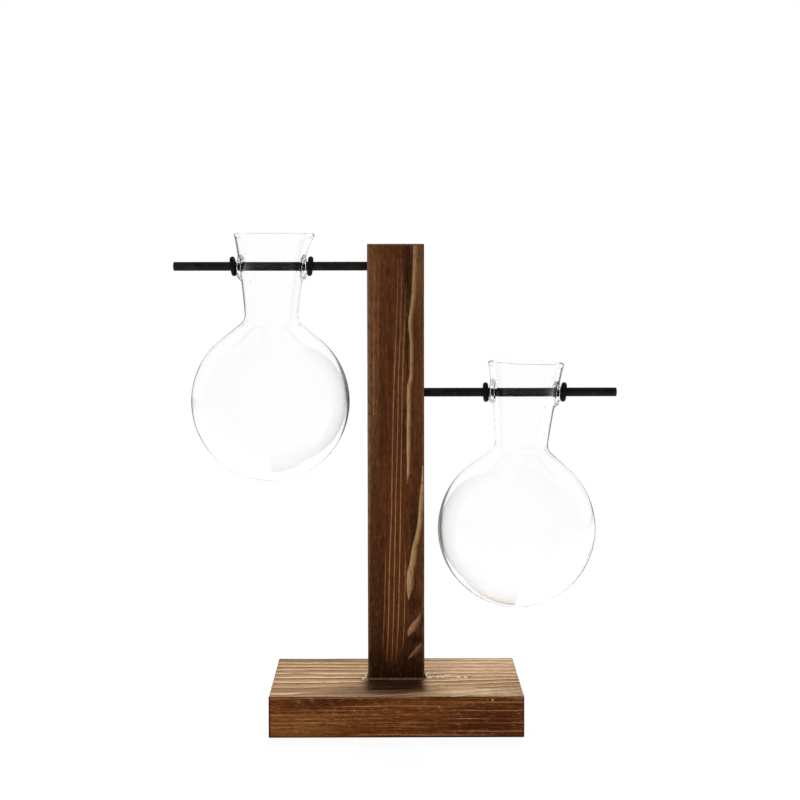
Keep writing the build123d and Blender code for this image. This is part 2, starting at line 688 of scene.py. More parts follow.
@dataclass(frozen=True)
class Streak:
    """A pale streak on the post's front: a grey rim at its left, then gold that fades to its right.

    Fields:
        left: (height, place of its left edge) stations, mm, from the bottom up.
        width: (height, width) stations, mm.
        rim: the tone of its left rim.
        gold: the tone of its body.
        cover: (height, how far it covers the wood) stations.
    """

    left: Pairs
    width: Pairs
    rim: Colour
    gold: Colour
    cover: Pairs

    def lay(self, sheet: NodeSheet, ragged: Flow, under: Flow) -> Flow:
        """Lays the streak over a colour.

        Args:
            sheet: the node sheet.
            ragged: a small noise that breaks its edges.
            under: the wood below it.

        Returns:
            The colour with the streak.
        """
        side, _, height = sheet.parts
        edge = sheet.route(height, self.left) + (ragged - 0.5) * 0.35
        width = sheet.route(height, self.width)
        into = side - edge
        fade = (into - width) / (width * 0.5 + 0.1)
        ends = height.between(self.left, 0.6, 0.6, 0.6)
        share = into.step(-0.12, 0.28) * fade.step(0.8, -0.9) * width.step(0.05, 0.5) * ends
        tint = sheet.mix(self.rim, self.gold, (into / (width + 0.2)).step(0.2, 0.95))
        tint = sheet.mix(tint, self.rim, ragged.step(0.52, 0.66) * 0.5)
        cover = sheet.route(height, self.cover) * (ragged * 0.5 + 0.72).least(1.0)
        return sheet.mix(under, tint, share * cover)


@dataclass(frozen=True)
class Thread:
    """One thin pale growth line that runs up the post's front.

    Fields:
        route: (height, place) stations, mm, from the bottom up.
        strength: how plainly it shows.
        width: half its width, mm.
    """

    route: Pairs
    strength: float = 0.8
    width: float = 0.36

    def share(self, sheet: NodeSheet) -> Flow:
        """How much of the line shows at a point.

        Args:
            sheet: the node sheet.

        Returns:
            The share, from 0 to the line's strength.
        """
        side, _, height = sheet.parts
        off = abs(side - sheet.route(height, self.route))
        ends = height.between(self.route, 1.0, 7.0, 14.0)
        return off.step(self.width, self.width * 0.2) * ends * self.strength


@dataclass(frozen=True)
class CharredPine:
    """Pine that was charred, brushed along the grain and oiled.

    Fields:
        name: the finish's name.
        rings: the piece's growth rings.
        box: the piece's lowest and highest corner, mm.
        early: the soft wood between ring lines.
        burnt: its darkest tone.
        line: the harder ring lines, which stay lighter.
        worn: the tone of rubbed edges.
        end: the tone of the end grain.
        line_strength: how plainly the ring lines show.
        stains: soft patches of other tones.
        groove: depth of the brushed grooves, mm.
        flecks: how plainly short pale fibres show.
        roughness: how rough it is.
        shine: how strongly it mirrors, as the shader's specular level.
    """

    name: str
    rings: Rings
    box: tuple[Triple, Triple]
    early: Colour
    burnt: Colour
    line: Colour
    worn: Colour
    end: Colour
    line_strength: float = 0.6
    stains: tuple[Stain, ...] = ()
    groove: float = 0.22
    flecks: float = 0.3
    roughness: float = 0.52
    shine: float = 0.04

    def crest(self, count: np.ndarray) -> np.ndarray:
        """How near each count is to a ring line, from 0 in a groove to 1 on the line."""
        away = np.abs(count - np.round(count))
        return eased(np.clip((0.3 - away) / 0.24, 0, 1))

    def relief(self, points: np.ndarray, normals: np.ndarray) -> np.ndarray:
        """How far each point of the piece is sunk by brushing, mm.

        Args:
            points: the mesh's points, mm.
            normals: the normals at them.

        Returns:
            One depth for each point, mm.
        """
        sunk = (1 - self.crest(self.rings.count(points))) * self.groove
        sunk *= 1 - 0.6 * np.abs(normals[:, self.rings.along.value])
        return sunk * np.where(normals[:, Axis.Z.value] < -0.5, 0.15, 1.0)

    def brush(self, piece: Piece) -> None:
        """Sinks the soft wood of a piece."""
        points, normals = points_of(piece), rows_of(piece, "normal")
        set_points(piece, points - normals * self.relief(points, normals)[:, None])

    def gap(self, sheet: NodeSheet, number: int) -> Flow:
        """How far a surface point is from the nearer of the two faces across one axis, mm."""
        low, high = self.box[0][number], self.box[1][number]
        return (high - low) / 2 - abs(sheet.parts[number] - (low + high) / 2)

    def edge_distance(self, sheet: NodeSheet) -> Flow:
        """How far a surface point is from the nearest edge, mm: the middle one of its three gaps."""
        first, second, third = (self.gap(sheet, number) for number in range(3))
        return first.least(second).most(first.most(second).least(third))

    def grain(self, sheet: NodeSheet, along: float, *noise: float) -> Flow:
        """Noise that runs with the grain.

        Args:
            sheet: the node sheet.
            along: how much it is drawn together along the grain.
            noise: its scale, detail, roughness and twist.

        Returns:
            The noise.
        """
        stretch = [1.0, 1.0, 1.0]
        stretch[self.rings.along.value] = along
        return sheet.noise(sheet.vector("MULTIPLY", sheet.place, tuple(stretch)), *noise)

    def ground(self, sheet: NodeSheet, away: Flow) -> Flow:
        """The wood's own tones: broad bands along the grain, stains and ring lines.

        Args:
            sheet: the node sheet.
            away: distance to the nearest ring line, in ring widths.

        Returns:
            The colour.
        """
        broad = self.grain(sheet, 0.03, 0.5, 3.0, 0.6, 0.3)
        held = self.grain(sheet, 0.045, 0.42, 2.0, 0.5)
        colour = sheet.mix(self.early, self.burnt, broad.step(0.34, 0.68) * 0.8)
        for stain in self.stains:
            colour = stain.lay(sheet, colour)
        shown = away.step(0.2, 0.03) * held.step(0.42, 0.62) * self.line_strength
        return sheet.mix(colour, self.line, shown)

    def dress(self, sheet: NodeSheet, colour: Flow) -> Flow:
        """What only one piece shows, laid over its wood; a plain piece shows nothing more."""
        return colour

    def material(self) -> bpy.types.Material:
        """Builds the finish.

        Returns:
            The material.
        """
        sheet = NodeSheet.named(self.name)
        drift = self.grain(sheet, 0.05, 0.5, 2.0, 0.5)
        away = (self.rings.flow(sheet) + (drift - 0.5) * 0.2).from_whole()
        fine = self.grain(sheet, 0.04, 2.6, 3.0, 0.65)
        fleck = self.grain(sheet, 0.3, 1.15, 3.0, 0.62)
        ragged = self.grain(sheet, 0.1, 1.3, 2.0, 0.6)
        cloud = sheet.noise(sheet.place, 0.05, 3.0, 0.5)
        colour = self.ground(sheet, away)
        colour = sheet.mix(colour, self.line, fleck.step(0.56, 0.74) * self.flecks)
        rubbed = self.edge_distance(sheet).step(1.3, 0.3) * ragged.step(0.25, 0.5)
        colour = sheet.mix(colour, self.worn, rubbed * 0.6)
        colour = self.dress(sheet, colour)
        colour = sheet.tint(colour, tone(158, 146, 136), fleck.step(0.47, 0.3) * 0.7)
        colour = sheet.tint(colour, tone(168, 158, 150), fine.step(0.52, 0.36) * 0.6)
        sawn = self.gap(sheet, self.rings.along.value).step(0.4, 0.15)
        pores = sheet.noise(sheet.place, 2.6, 2.0, 0.6)
        end = sheet.mix(self.end, self.line, away.step(0.3, 0.06) * 0.3)
        end = sheet.mix(end, self.burnt, pores.step(0.52, 0.38) * 0.7)
        colour = sheet.mix(colour, end, sawn)
        height = away.step(0.3, 0.06) * (0.3 * self.groove) + fine * 0.1 + fleck * 0.07
        height = height - pores.step(0.5, 0.38) * sawn * 0.06
        rough = self.roughness + (fine - 0.5) * 0.2 + (cloud - 0.5) * 0.12 + sawn * 0.15
        more = {"Specular IOR Level": self.shine, "Normal": sheet.bump(height, 0.8)}
        return sheet.finish(sheet.surface(colour, rough, more))


@dataclass(frozen=True)
class BoardPine(CharredPine):
    """The board: fine level lines on its sides, and a top that was brushed down to pale ridges.

    Fields:
        bare: the top's own tone.
        ridge: the pale ridges on it.
        gully: the darker groove at the near side of each ridge.
        char_and_shadow: the dark patch before the post, partly burn and partly a painted shadow and
            reflection of the post.
        top_stains_and_shade: soft patches on the top, stains and the painted shadow's brown fringe before
            the post.
        top_groove: depth of the top's grooves, mm.
        top_rate: how many ridges there are to a ring.
        top_start: the count at which a ridge falls.
        skew: how far the ridges bend away from the grain towards the near right corner.
        half_length: half of the board's length, mm.
        bend_back: the depth at which that bend starts, mm.
        bend_run: how far in front of it the bend is at its full, mm.
        sides_top: the heights between which the sides' wood turns into the top's, mm.
        glue: the tone of dried glue.
        glue_patch: the middle and reach of the smear of dried glue, mm.
    """

    bare: Colour = tone(152, 122, 88)
    # ridge: the pale ridges on it, their tone partly painted light where the ridges face the light from
    # behind.
    ridge: Colour = tone(214, 184, 150)
    # gully: the darker groove at the near side of each ridge, its tone partly painted shade of the slope
    # that faces away from the light behind.
    gully: Colour = tone(116, 86, 56)
    char_and_shadow: Colour = tone(42, 16, 4)
    top_stains_and_shade: tuple[Stain, ...] = ()
    top_groove: float = 0.4
    top_rate: float = 0.78
    top_start: float = 0.38
    skew: float = 0.72
    half_length: float = 62.5
    bend_back: float = 26.0
    bend_run: float = 71.0
    sides_top: tuple[float, float] = (20.05, 20.5)
    glue: Colour = tone(205, 190, 165)
    glue_patch: tuple[Triple, Triple] = ((25.5, -1.0, 20.7), (11.5, 8.0, 3.0))

    def turned_count(self, count: Value, side: Value, depth: Value) -> Value:
        """The count on the top, from the rings' count and the place.

        Args:
            count: the rings' count.
            side: the place along X, mm.
            depth: the place along Y, mm.

        Returns:
            The top's count.
        """
        across = (side + self.half_length) * (1 / self.half_length)
        near = (self.bend_back - depth) * (1 / self.bend_run)
        return count * self.top_rate + self.top_start - across * across * near * near * self.skew

    def relief(self, points: np.ndarray, normals: np.ndarray) -> np.ndarray:
        """How far each point of the board is sunk by brushing, mm.

        Args:
            points: the mesh's points, mm.
            normals: the normals at them.

        Returns:
            One depth for each point, mm.
        """
        count = self.turned_count(self.rings.count(points), points[:, 0], points[:, 1])
        ridge = np.abs(count - np.round(count))
        gully = np.abs(count + 0.24 - np.round(count + 0.24))
        top = np.clip((ridge - 0.04) / 0.2, 0, 1) * 0.5 + np.clip((0.2 - gully) / 0.16, 0, 1) * 0.5
        top = top * self.top_groove * np.clip((points[:, 1] + 46) / 7, 0.15, 1)
        ends = np.abs(normals[:, 0]) * np.clip((points[:, 2] - 8) / 8, 0, 1)
        return np.where(normals[:, 2] > 0.4, top, super().relief(points, normals)) + ends * top

    def dress(self, sheet: NodeSheet, colour: Flow) -> Flow:
        """The top's ridges and grooves, partly painted light and shade, its dark patch of burn and painted
        shadow of the post, its smear of glue, and a burnt left edge.

        Args:
            sheet: the node sheet.
            colour: the wood's colour so far.

        Returns:
            The colour with all of that.
        """
        side, depth, height = sheet.parts
        drift = self.grain(sheet, 0.1, 0.2, 3.0, 0.55)
        count = self.turned_count(self.rings.flow(sheet), side, depth) + (drift - 0.5) * 0.4
        grain = self.grain(sheet, 0.03, 1.0, 3.0, 0.7)
        kept = self.grain(sheet, 0.25, 0.11, 2.0, 0.5, 0.4)
        worn = sheet.noise(sheet.place, 0.045, 1.0, 0.5).step(0.35, 0.55)
        bold = 1 - depth.step(-14.0, -24.0) * worn * 0.75
        # The pale ridges and the dark grooves at their near side are partly painted light and shade of the
        # brushed slopes, lit from behind.
        valley = (count + 0.24).from_whole().step(0.24, 0.03) * kept.step(0.22, 0.5) * bold
        top = sheet.mix(self.bare, self.gully, valley * 0.9)
        for stain in self.top_stains_and_shade:
            top = stain.lay(sheet, top)
        crest = count.from_whole().step(0.15, 0.02) * kept.step(0.26, 0.5)
        lanes = self.grain(sheet, 0.02, 0.16, 1.0, 0.5, 0.2)
        top = sheet.mix(top, self.ridge, crest * (lanes * 1.7 + 0.1).least(1.0) * bold)
        top = sheet.mix(top, self.ridge, grain.step(0.53, 0.7) * 0.35)
        top = sheet.tint(top, tone(186, 170, 152), grain.step(0.5, 0.34) * 0.8)
        back = depth.step(34.0, 41.0) * side.step(56.0, -20.0)
        top = sheet.tint(top, tone(168, 154, 138), back * 0.9)
        # Painted shadow and reflection of the post, partly burn: a near black patch on the top before the
        # post's foot.
        charred = abs(side + depth * 0.06 + 2.0).step(17.5, 12.5) * depth.step(-41.5, -27.0)
        charred = charred * depth.step(-9.0, -10.0) * (kept * 0.3 + 0.8).least(1.0)
        top = sheet.mix(top, self.char_and_shadow, charred)
        top = Stain((22.0, -7.5, 20.7), (8.0, 2.8, 2.0), self.gully, 0.9).lay(sheet, top)
        span = sheet.span(*self.glue_patch)
        specks = sheet.noise(sheet.place, 0.7, 2.0, 0.7, 0.6)
        shown = (specks + span.step(1.1, 0.2) * 0.12).step(0.67, 0.72)
        top = sheet.mix(top, self.glue, shown * span.step(1.25, 1.0) * 0.6)
        colour = sheet.mix(colour, self.char_and_shadow, side.step(-61.3, -61.9) * 0.8)
        return sheet.mix(colour, top, height.step(*self.sides_top))


@dataclass(frozen=True)
class PostPine(CharredPine):
    """The post: dark, with thin pale lines up the middle of its front and pale streaks at its right.

    Fields:
        threads: the thin lines.
        streaks: the pale streaks.
        between: the redder wood between the thin lines, low down.
        shown: (height, how plainly the thin lines show) stations.
        front: the depth at which the front begins, mm.
        sunk_front: how deep the front was brushed, as a share of the other sides.
    """

    threads: tuple[Thread, ...] = ()
    streaks: tuple[Streak, ...] = ()
    between: Colour = tone(80, 41, 13)
    shown: Pairs = ()
    front: float = -9.2
    sunk_front: float = 0.35

    def relief(self, points: np.ndarray, normals: np.ndarray) -> np.ndarray:
        """How far each point of the post is sunk by brushing, mm; its front was brushed least."""
        front = np.clip(-normals[:, Axis.Y.value], 0, 1)
        return super().relief(points, normals) * (1 - front * (1 - self.sunk_front))

    def ground(self, sheet: NodeSheet, away: Flow) -> Flow:
        """The wood's own tones; on the front its ring lines all but vanish."""
        front = sheet.parts[1].step(self.front, self.front - 0.6)
        return super().ground(sheet, away + front * 0.4)

    def dress(self, sheet: NodeSheet, colour: Flow) -> Flow:
        """The front's thin lines, the redder wood between them, and its streaks.

        Args:
            sheet: the node sheet.
            colour: the wood's colour so far.

        Returns:
            The colour with all of that.
        """
        side, depth, height = sheet.parts
        front = depth.step(self.front, self.front - 0.6)
        red = abs(side - height * 0.028 + 2.2).step(6.5, 2.5) * height.step(24.0, 44.0)
        red = red * height.step(150.0, 110.0)
        colour = sheet.mix(colour, self.between, red * front * 0.6)
        broken = self.grain(sheet, 0.14, 1.4, 2.0, 0.6)
        shown = reduce(Flow.most, [thread.share(sheet) for thread in self.threads])
        shown = shown * sheet.route(height, self.shown) * (broken * 0.9 + 0.4).least(1.0)
        colour = sheet.mix(colour, self.line, shown * front)
        ragged = self.grain(sheet, 0.1, 1.3, 2.0, 0.6)
        plain = colour
        for streak in self.streaks:
            colour = streak.lay(sheet, ragged, colour)
        colour = sheet.mix(plain, colour, front)
        fuzz = sheet.noise(sheet.place, 1.5, 2.0, 0.6) + height.step(22.8, 20.7) * 0.3
        shown = fuzz.step(0.6, 0.7) * height.step(22.7, 21.7) * 0.8
        return sheet.mix(colour, tone(128, 96, 70), shown)


def box_mm(node: str) -> tuple[Triple, Triple]:
    """A node's lowest and highest corner in millimetres."""
    low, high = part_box(node)
    return tuple(low / MM), tuple(high / MM)


BASE_WAVES = (
    Wave(0.09, 96, 0.045, 0.4),
    Wave(0.05, 41, -0.09, 2.1),
    Wave(0.03, 19, 0.15, 4),
)
POST_WAVES = (
    Wave(0.10, 150, 0.05, 1),
    Wave(0.05, 47, -0.08, 3),
    Wave(0.03, 21, 0.2, 5.2),
)


def base_pine() -> BoardPine:
    """The board's finish: yellow brown at its left, redder and darker at its right.

    Returns:
        The finish.
    """
    rings = Rings(Axis.X, Axis.Y, Axis.Z, -126, -440, 0, 2, 0.36, BASE_WAVES)
    bare, front, top = tone(206, 160, 124), -45, 20.7
    stains = (
        Stain((-46, front, 6), (34, 30, 8.5), tone(124, 80, 36), 0.6),
        Stain((46, front, 9), (42, 30, 17), tone(66, 30, 10), 0.85),
        Stain((-38, front, 17), (34, 12, 3.8), tone(68, 30, 12), 0.85),
        Stain((26, front, 17.2), (20, 12, 2.4), tone(102, 62, 26), 0.6),
        Stain((0, front, top), (100, 3, 3), tone(44, 19, 5), 0.97),
        Stain((28, front, 0), (80, 3, 1.3), tone(30, 11, 3), 0.95),
        Stain((46.9, front, 18.7), (0.75, 2, 0.7), bare, 1),
        Stain((21, front, 15.2), (0.7, 2, 0.65), tone(180, 120, 76), 0.9),
        Stain((-20.6, front, 13.4), (0.8, 2, 0.6), tone(184, 134, 86), 0.9),
    )
    top_stains_and_shade = (
        Stain((44, 26, top), (56, 40, 4), tone(182, 153, 122), 0.6),
        Stain((-40, -34.5, top), (46, 14, 4), tone(122, 92, 66), 0.8),
        # Painted shadow: a soft brown fringe round the dark patch before the post.
        Stain((-4, -30, top), (32, 19, 4), tone(98, 68, 42), 0.75),
        Stain((40, -36, top), (32, 12, 4), tone(198, 170, 138), 0.7),
    )
    return BoardPine(
        name="charred_pine_board",
        rings=rings,
        box=box_mm("base"),
        early=tone(104, 57, 21),
        burnt=tone(74, 36, 11),
        line=tone(166, 122, 86),
        worn=tone(50, 23, 8),
        end=tone(60, 33, 17),
        line_strength=0.56,
        stains=stains,
        groove=0.14,
        flecks=0.4,
        top_stains_and_shade=top_stains_and_shade,
    )


def post_pine() -> PostPine:
    """The post's finish: near black at its foot, tan at its left edge, gold at its right.

    Returns:
        The finish.
    """
    rings = Rings(Axis.Z, Axis.X, Axis.Y, 16.2, -34, 0.026, 1.45, 0.1, POST_WAVES)
    rim, gold = tone(150, 124, 90), tone(126, 88, 46)
    long_streak = Streak(
        (
            (119.6, 5.4), (131.7, 5.45), (143, 5.4), (151.3, 5.5), (167.9, 5.5), (175, 6.8), (191.2, 7.1),
            (196.9, 6.6), (201.9, 6.3), (205.9, 6.8), (213.6, 7.7), (223.1, 8.3), (240.7, 8.7),
        ),
        (
            (119.6, 0), (124, 0.9), (132, 1.6), (150, 1.9), (167.5, 2), (175.5, 1.7), (191.4, 1.5),
            (202.3, 2.1), (213.2, 2), (223.2, 2.2), (240.7, 2),
        ),
        rim,
        gold,
        ((119, 0.95), (175, 0.9), (195, 0.8), (225, 0.66), (240.7, 0.42)),
    )
    low_streak = Streak(
        (
            (61.8, 6.1), (72.2, 5.3), (81.3, 6.9), (86.8, 7.7), (92.2, 9), (96.7, 10.1), (102, 10.9),
            (107.9, 11.4), (114.8, 12), (129.8, 13.3),
        ),
        (
            (61.8, 0.2), (66.2, 2), (72.2, 3.2), (81.1, 2.8), (92.1, 2.3), (102, 2), (114.9, 1.7),
            (122.8, 1), (129.8, 0.4),
        ),
        rim,
        tone(150, 112, 70),
        ((61, 0.9), (130, 0.95)),
    )
    upper_feather = Streak(
        ((43, 6.2), (44.6, 5.7), (46.8, 6.1), (50.1, 8.2), (52.5, 10.6), (55.5, 12.2)),
        ((43, 0.2), (44.6, 1.9), (46.8, 3.8), (50.1, 3.4), (52.5, 1.6), (55.5, 0.5)),
        tone(146, 112, 80),
        tone(112, 74, 46),
        ((43, 0.85), (49, 0.85), (54, 0.6)),
    )
    lower_feather = Streak(
        ((31.1, 6), (32.2, 6.2), (34.9, 7.8), (37, 9.6), (39.6, 12)),
        ((31.1, 0.2), (32.2, 0.9), (34.9, 3.4), (37, 3), (39.6, 1)),
        tone(124, 86, 58),
        tone(96, 58, 34),
        ((31, 0.8), (40, 0.8)),
    )
    rows = (27, 33.4, 53.1, 77.5, 107.7, 143, 173.3, 198.5, 221, 236)
    threads = (
        Thread(((33.4, -6.85), (53.1, -6.05), (77.5, -5.3), (91, -5)), 0.55),
        Thread(tuple(zip(rows, (-4.8, -4.6, -3.8, -3.35, -2.25, -1.65, -0.8, 0.3, 1, 1.2))), 0.95),
        Thread(tuple(zip(rows, (-2.3, -2.1, -1.35, -0.8, -0.2, 0.8, 1.4, 2.3, 3, 3.1))), 0.85),
        Thread((*zip(rows, (0, 0.15, 1.15, 1.75, 2.3, 2.85, 3.4, 4.4)), (222, 5.2)), 0.9),
        Thread(((33.4, 3.1), (53.1, 4.15), (77.5, 4.65), (91, 4.9)), 0.65),
        Thread(((150, -11), (170, -11.1), (200, -10.9), (225, -10.6), (240.7, -10.4)), 0.5, 0.5),
        Thread(((176, -8.6), (200, -8.8), (220, -8.5), (240.7, -8.2)), 0.35, 0.45),
    )
    shown = (
        (26, 0.15), (33, 0.32), (45, 0.75), (60, 0.95), (78, 1), (108, 0.85), (143, 0.66),
        (173, 0.72), (198, 0.45), (225, 0.32), (236, 0.2),
    )
    night, front = tone(38, 19, 9), -10
    stains = (
        Stain((-12, front, 196), (5.5, 4, 104), tone(94, 60, 36), 0.8),
        Stain((-14, front, 150), (1.7, 4, 150), tone(112, 90, 68), 0.8),
        Stain((-9.4, front, 196.5), (1.5, 3, 5), tone(112, 48, 24), 0.6),
        Stain((11.6, front, 232), (3.4, 8, 40), tone(92, 62, 34), 0.8),
        Stain((6.2, front, 228), (3.2, 4, 36), night, 0.85),
        Stain((5.6, front, 192), (1.3, 4, 26), night, 0.85),
        Stain((4.2, front, 150), (1, 4, 26), night, 0.7),
        Stain((8.4, front, 100), (2.4, 5, 26), tone(48, 21, 8), 0.75),
        Stain((9, front, 60), (5.5, 5, 8), tone(48, 22, 9), 0.8),
        Stain((12.5, front, 51), (2.4, 5, 6), tone(44, 20, 8), 0.7),
        Stain((10, front, 41.5), (5, 5, 3.6), tone(34, 15, 6), 0.85),
        Stain((-8, front, 60), (9, 8, 56), tone(56, 28, 12), 0.7),
        Stain((0, 0, 14), (60, 50, 42), tone(26, 10, 2), 0.97),
    )
    return PostPine(
        name="charred_pine_post",
        rings=rings,
        box=box_mm("post"),
        early=tone(78, 44, 21),
        burnt=tone(58, 30, 12),
        line=tone(152, 112, 76),
        worn=tone(96, 74, 54),
        end=tone(70, 54, 42),
        line_strength=0.5,
        stains=stains,
        threads=threads,
        shown=shown,
        streaks=(long_streak, low_streak, upper_feather, lower_feather),
        groove=0.16,
        flecks=0.14,
        roughness=0.55,
    )


@dataclass
class Stand:
    """The sawn pine stand: a board lying flat and a post upright on its middle.

    Fields:
        edge_ease: round of the board's edges, mm.
        post_ease: round of the post's long edges, mm.
        cell_along: mesh cell along the grain, mm.
        cell_across: mesh cell across the grain, mm.
        screw_hole: (radius, height) outline of a screw's hole, mm.
        crease: edges flatter than this are shaded smooth, degrees.
        rod_gap: glue gap around a rod, mm.
        body: the body that the stand is.
    """

    edge_ease: float = 0.6
    post_ease: float = 0.5
    cell_along: float = 2.4
    cell_across: float = 0.55
    screw_hole: Pairs = (
        (0.0, -2.0), (4.25, -2.0), (4.25, 1.5), (2.25, 3.5), (2.25, 24.0), (1.53, 24.0), (1.53, 47.0),
        (0.4, 52.0), (0.0, 52.0),
    )
    crease: float = 38.0
    rod_gap: float = 0.05
    body: str = "stand"

    def sawn(self, name: str, node: str, ease: float, grain: Axis) -> Piece:
        """A block with eased edges and a mesh that is finer across the grain than along it.

        Args:
            name: the piece's name.
            node: the node whose box it fills.
            ease: round of its edges, mm.
            grain: the axis that the grain follows.

        Returns:
            The block.
        """
        low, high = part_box(node)
        cube = bpy.ops.mesh.primitive_cube_add
        piece = add(name, cube, size=1, location=(low + high) / 2, scale=high - low)
        sizes = (high - low) / MM
        with editing(piece, "SELECT"):
            bpy.ops.mesh.bevel(offset=ease * MM, segments=3, affect="EDGES")
            for axis in Axis:
                cell = self.cell_along if axis is grain else self.cell_across
                self._slice(piece, axis, sizes[axis.value], cell)
        return piece

    @staticmethod
    def _slice(piece: Piece, axis: Axis, size: float, cell: float) -> None:
        """Cuts every long edge that runs along an axis into cells.

        Args:
            piece: the piece.
            axis: the axis.
            size: the piece's size along it, mm.
            cell: a cell's length, mm.
        """
        number = axis.value

        def runs_along(first: Vector, second: Vector) -> bool:
            """True for a long edge on that axis."""
            return abs(first[number] - second[number]) > size * MM * 0.5

        pick_edges(piece, runs_along)
        bpy.ops.mesh.subdivide(number_cuts=round(size / cell) - 1)

    def screw_cutter(self, place: float) -> Piece:
        """The hole of one screw, as a tool to cut with.

        Args:
            place: where the screw stands along X, mm.

        Returns:
            The cutter.
        """
        tool = turned("screw_cutter", self.screw_hole, 40)
        move(tool, Matrix.Translation((place * MM, 0, 0)))
        return tool

    def rod_cutter(self, side: Side) -> Piece:
        """The blind hole of one rod, as a tool to cut with.

        Args:
            side: which rod.

        Returns:
            The cutter.
        """
        low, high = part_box(f"{side.word}_rod")
        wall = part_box("post")[0 if side is Side.LEFT else 1].x
        inner = high.x if side is Side.LEFT else low.x
        length = abs(wall - inner) + 2 * MM
        middle = Vector((inner + side.value * length / 2, 0, (low.z + high.z) / 2))
        radius = (high.z - low.z) / 2 + self.rod_gap * MM
        return bar("rod_cutter", middle, length, radius, 48)

    def build(self) -> None:
        """Saws, brushes, drills and dresses the board and then the post."""
        for name, node, ease, finish, rods in (
            ("pine_base_board", "base", self.edge_ease, base_pine(), ()),
            ("pine_post", "post", self.post_ease, post_pine(), Side),
        ):
            piece = self.sawn(name, node, ease, finish.rings.along)
            finish.brush(piece)
            for place in SCREW_PLACES:
                cut(piece, self.screw_cutter(place))
            for side in rods:
                cut(piece, self.rod_cutter(side))
            install(piece, self.crease, finish.material(), self.body, f"{node}_wood", node)


@dataclass(frozen=True)
class SatinBlack:
    """Black enamel, satin, with a little dust and the odd rubbed spot."""

    name: str
    colour: Colour
    dust: Colour
    roughness: float
    shine: float
    grain: float

    def material(self) -> bpy.types.Material:
        """Builds the finish.

        Returns:
            The material.
        """
        sheet = NodeSheet.named(self.name)
        skin = sheet.noise(sheet.place, self.grain, 3.0, 0.6)
        cloud = sheet.noise(sheet.place, 0.16, 2.0, 0.5)
        specks = sheet.noise(sheet.place, 1.4, 2.0, 0.5)
        colour = sheet.mix(self.colour, self.dust, cloud.step(0.42, 0.75) * 0.5)
        colour = sheet.mix(colour, self.dust, specks.step(0.66, 0.78) * 0.7)
        rough = self.roughness + (skin - 0.5) * 0.2 + (cloud - 0.5) * 0.15
        more = {"Specular IOR Level": self.shine, "Normal": sheet.bump(skin * 0.02 + specks * 0.01)}
        return sheet.finish(sheet.surface(colour, rough, more))


ENAMEL = SatinBlack("satin_black_enamel", tone(15, 15, 12), tone(36, 35, 30), 0.46, 0.07, 2.6)
RUBBER = SatinBlack("matte_black_rubber", tone(13, 12, 12), tone(32, 30, 28), 0.62, 0.06, 4.0)


@dataclass(frozen=True)
class ZincPlate:
    """Bright zinc on a steel screw, slightly clouded."""

    name: str = "zinc_plated_steel"
    colour: Colour = tone(186, 188, 190)
    dull: Colour = tone(128, 126, 120)

    def material(self) -> bpy.types.Material:
        """Builds the finish.

        Returns:
            The material.
        """
        sheet = NodeSheet.named(self.name)
        cloud = sheet.noise(sheet.place, 0.8, 3.0, 0.6)
        scratch = sheet.noise(sheet.vector("MULTIPLY", sheet.place, (4.0, 4.0, 0.4)), 2.0, 3.0, 0.7)
        colour = sheet.mix(self.colour, self.dull, cloud.step(0.4, 0.7) * 0.8)
        rough = 0.28 + cloud * 0.2 + (scratch - 0.5) * 0.1
        more = {"Metallic": 1.0, "Normal": sheet.bump(scratch * 0.02)}
        return sheet.finish(sheet.surface(colour, rough, more))


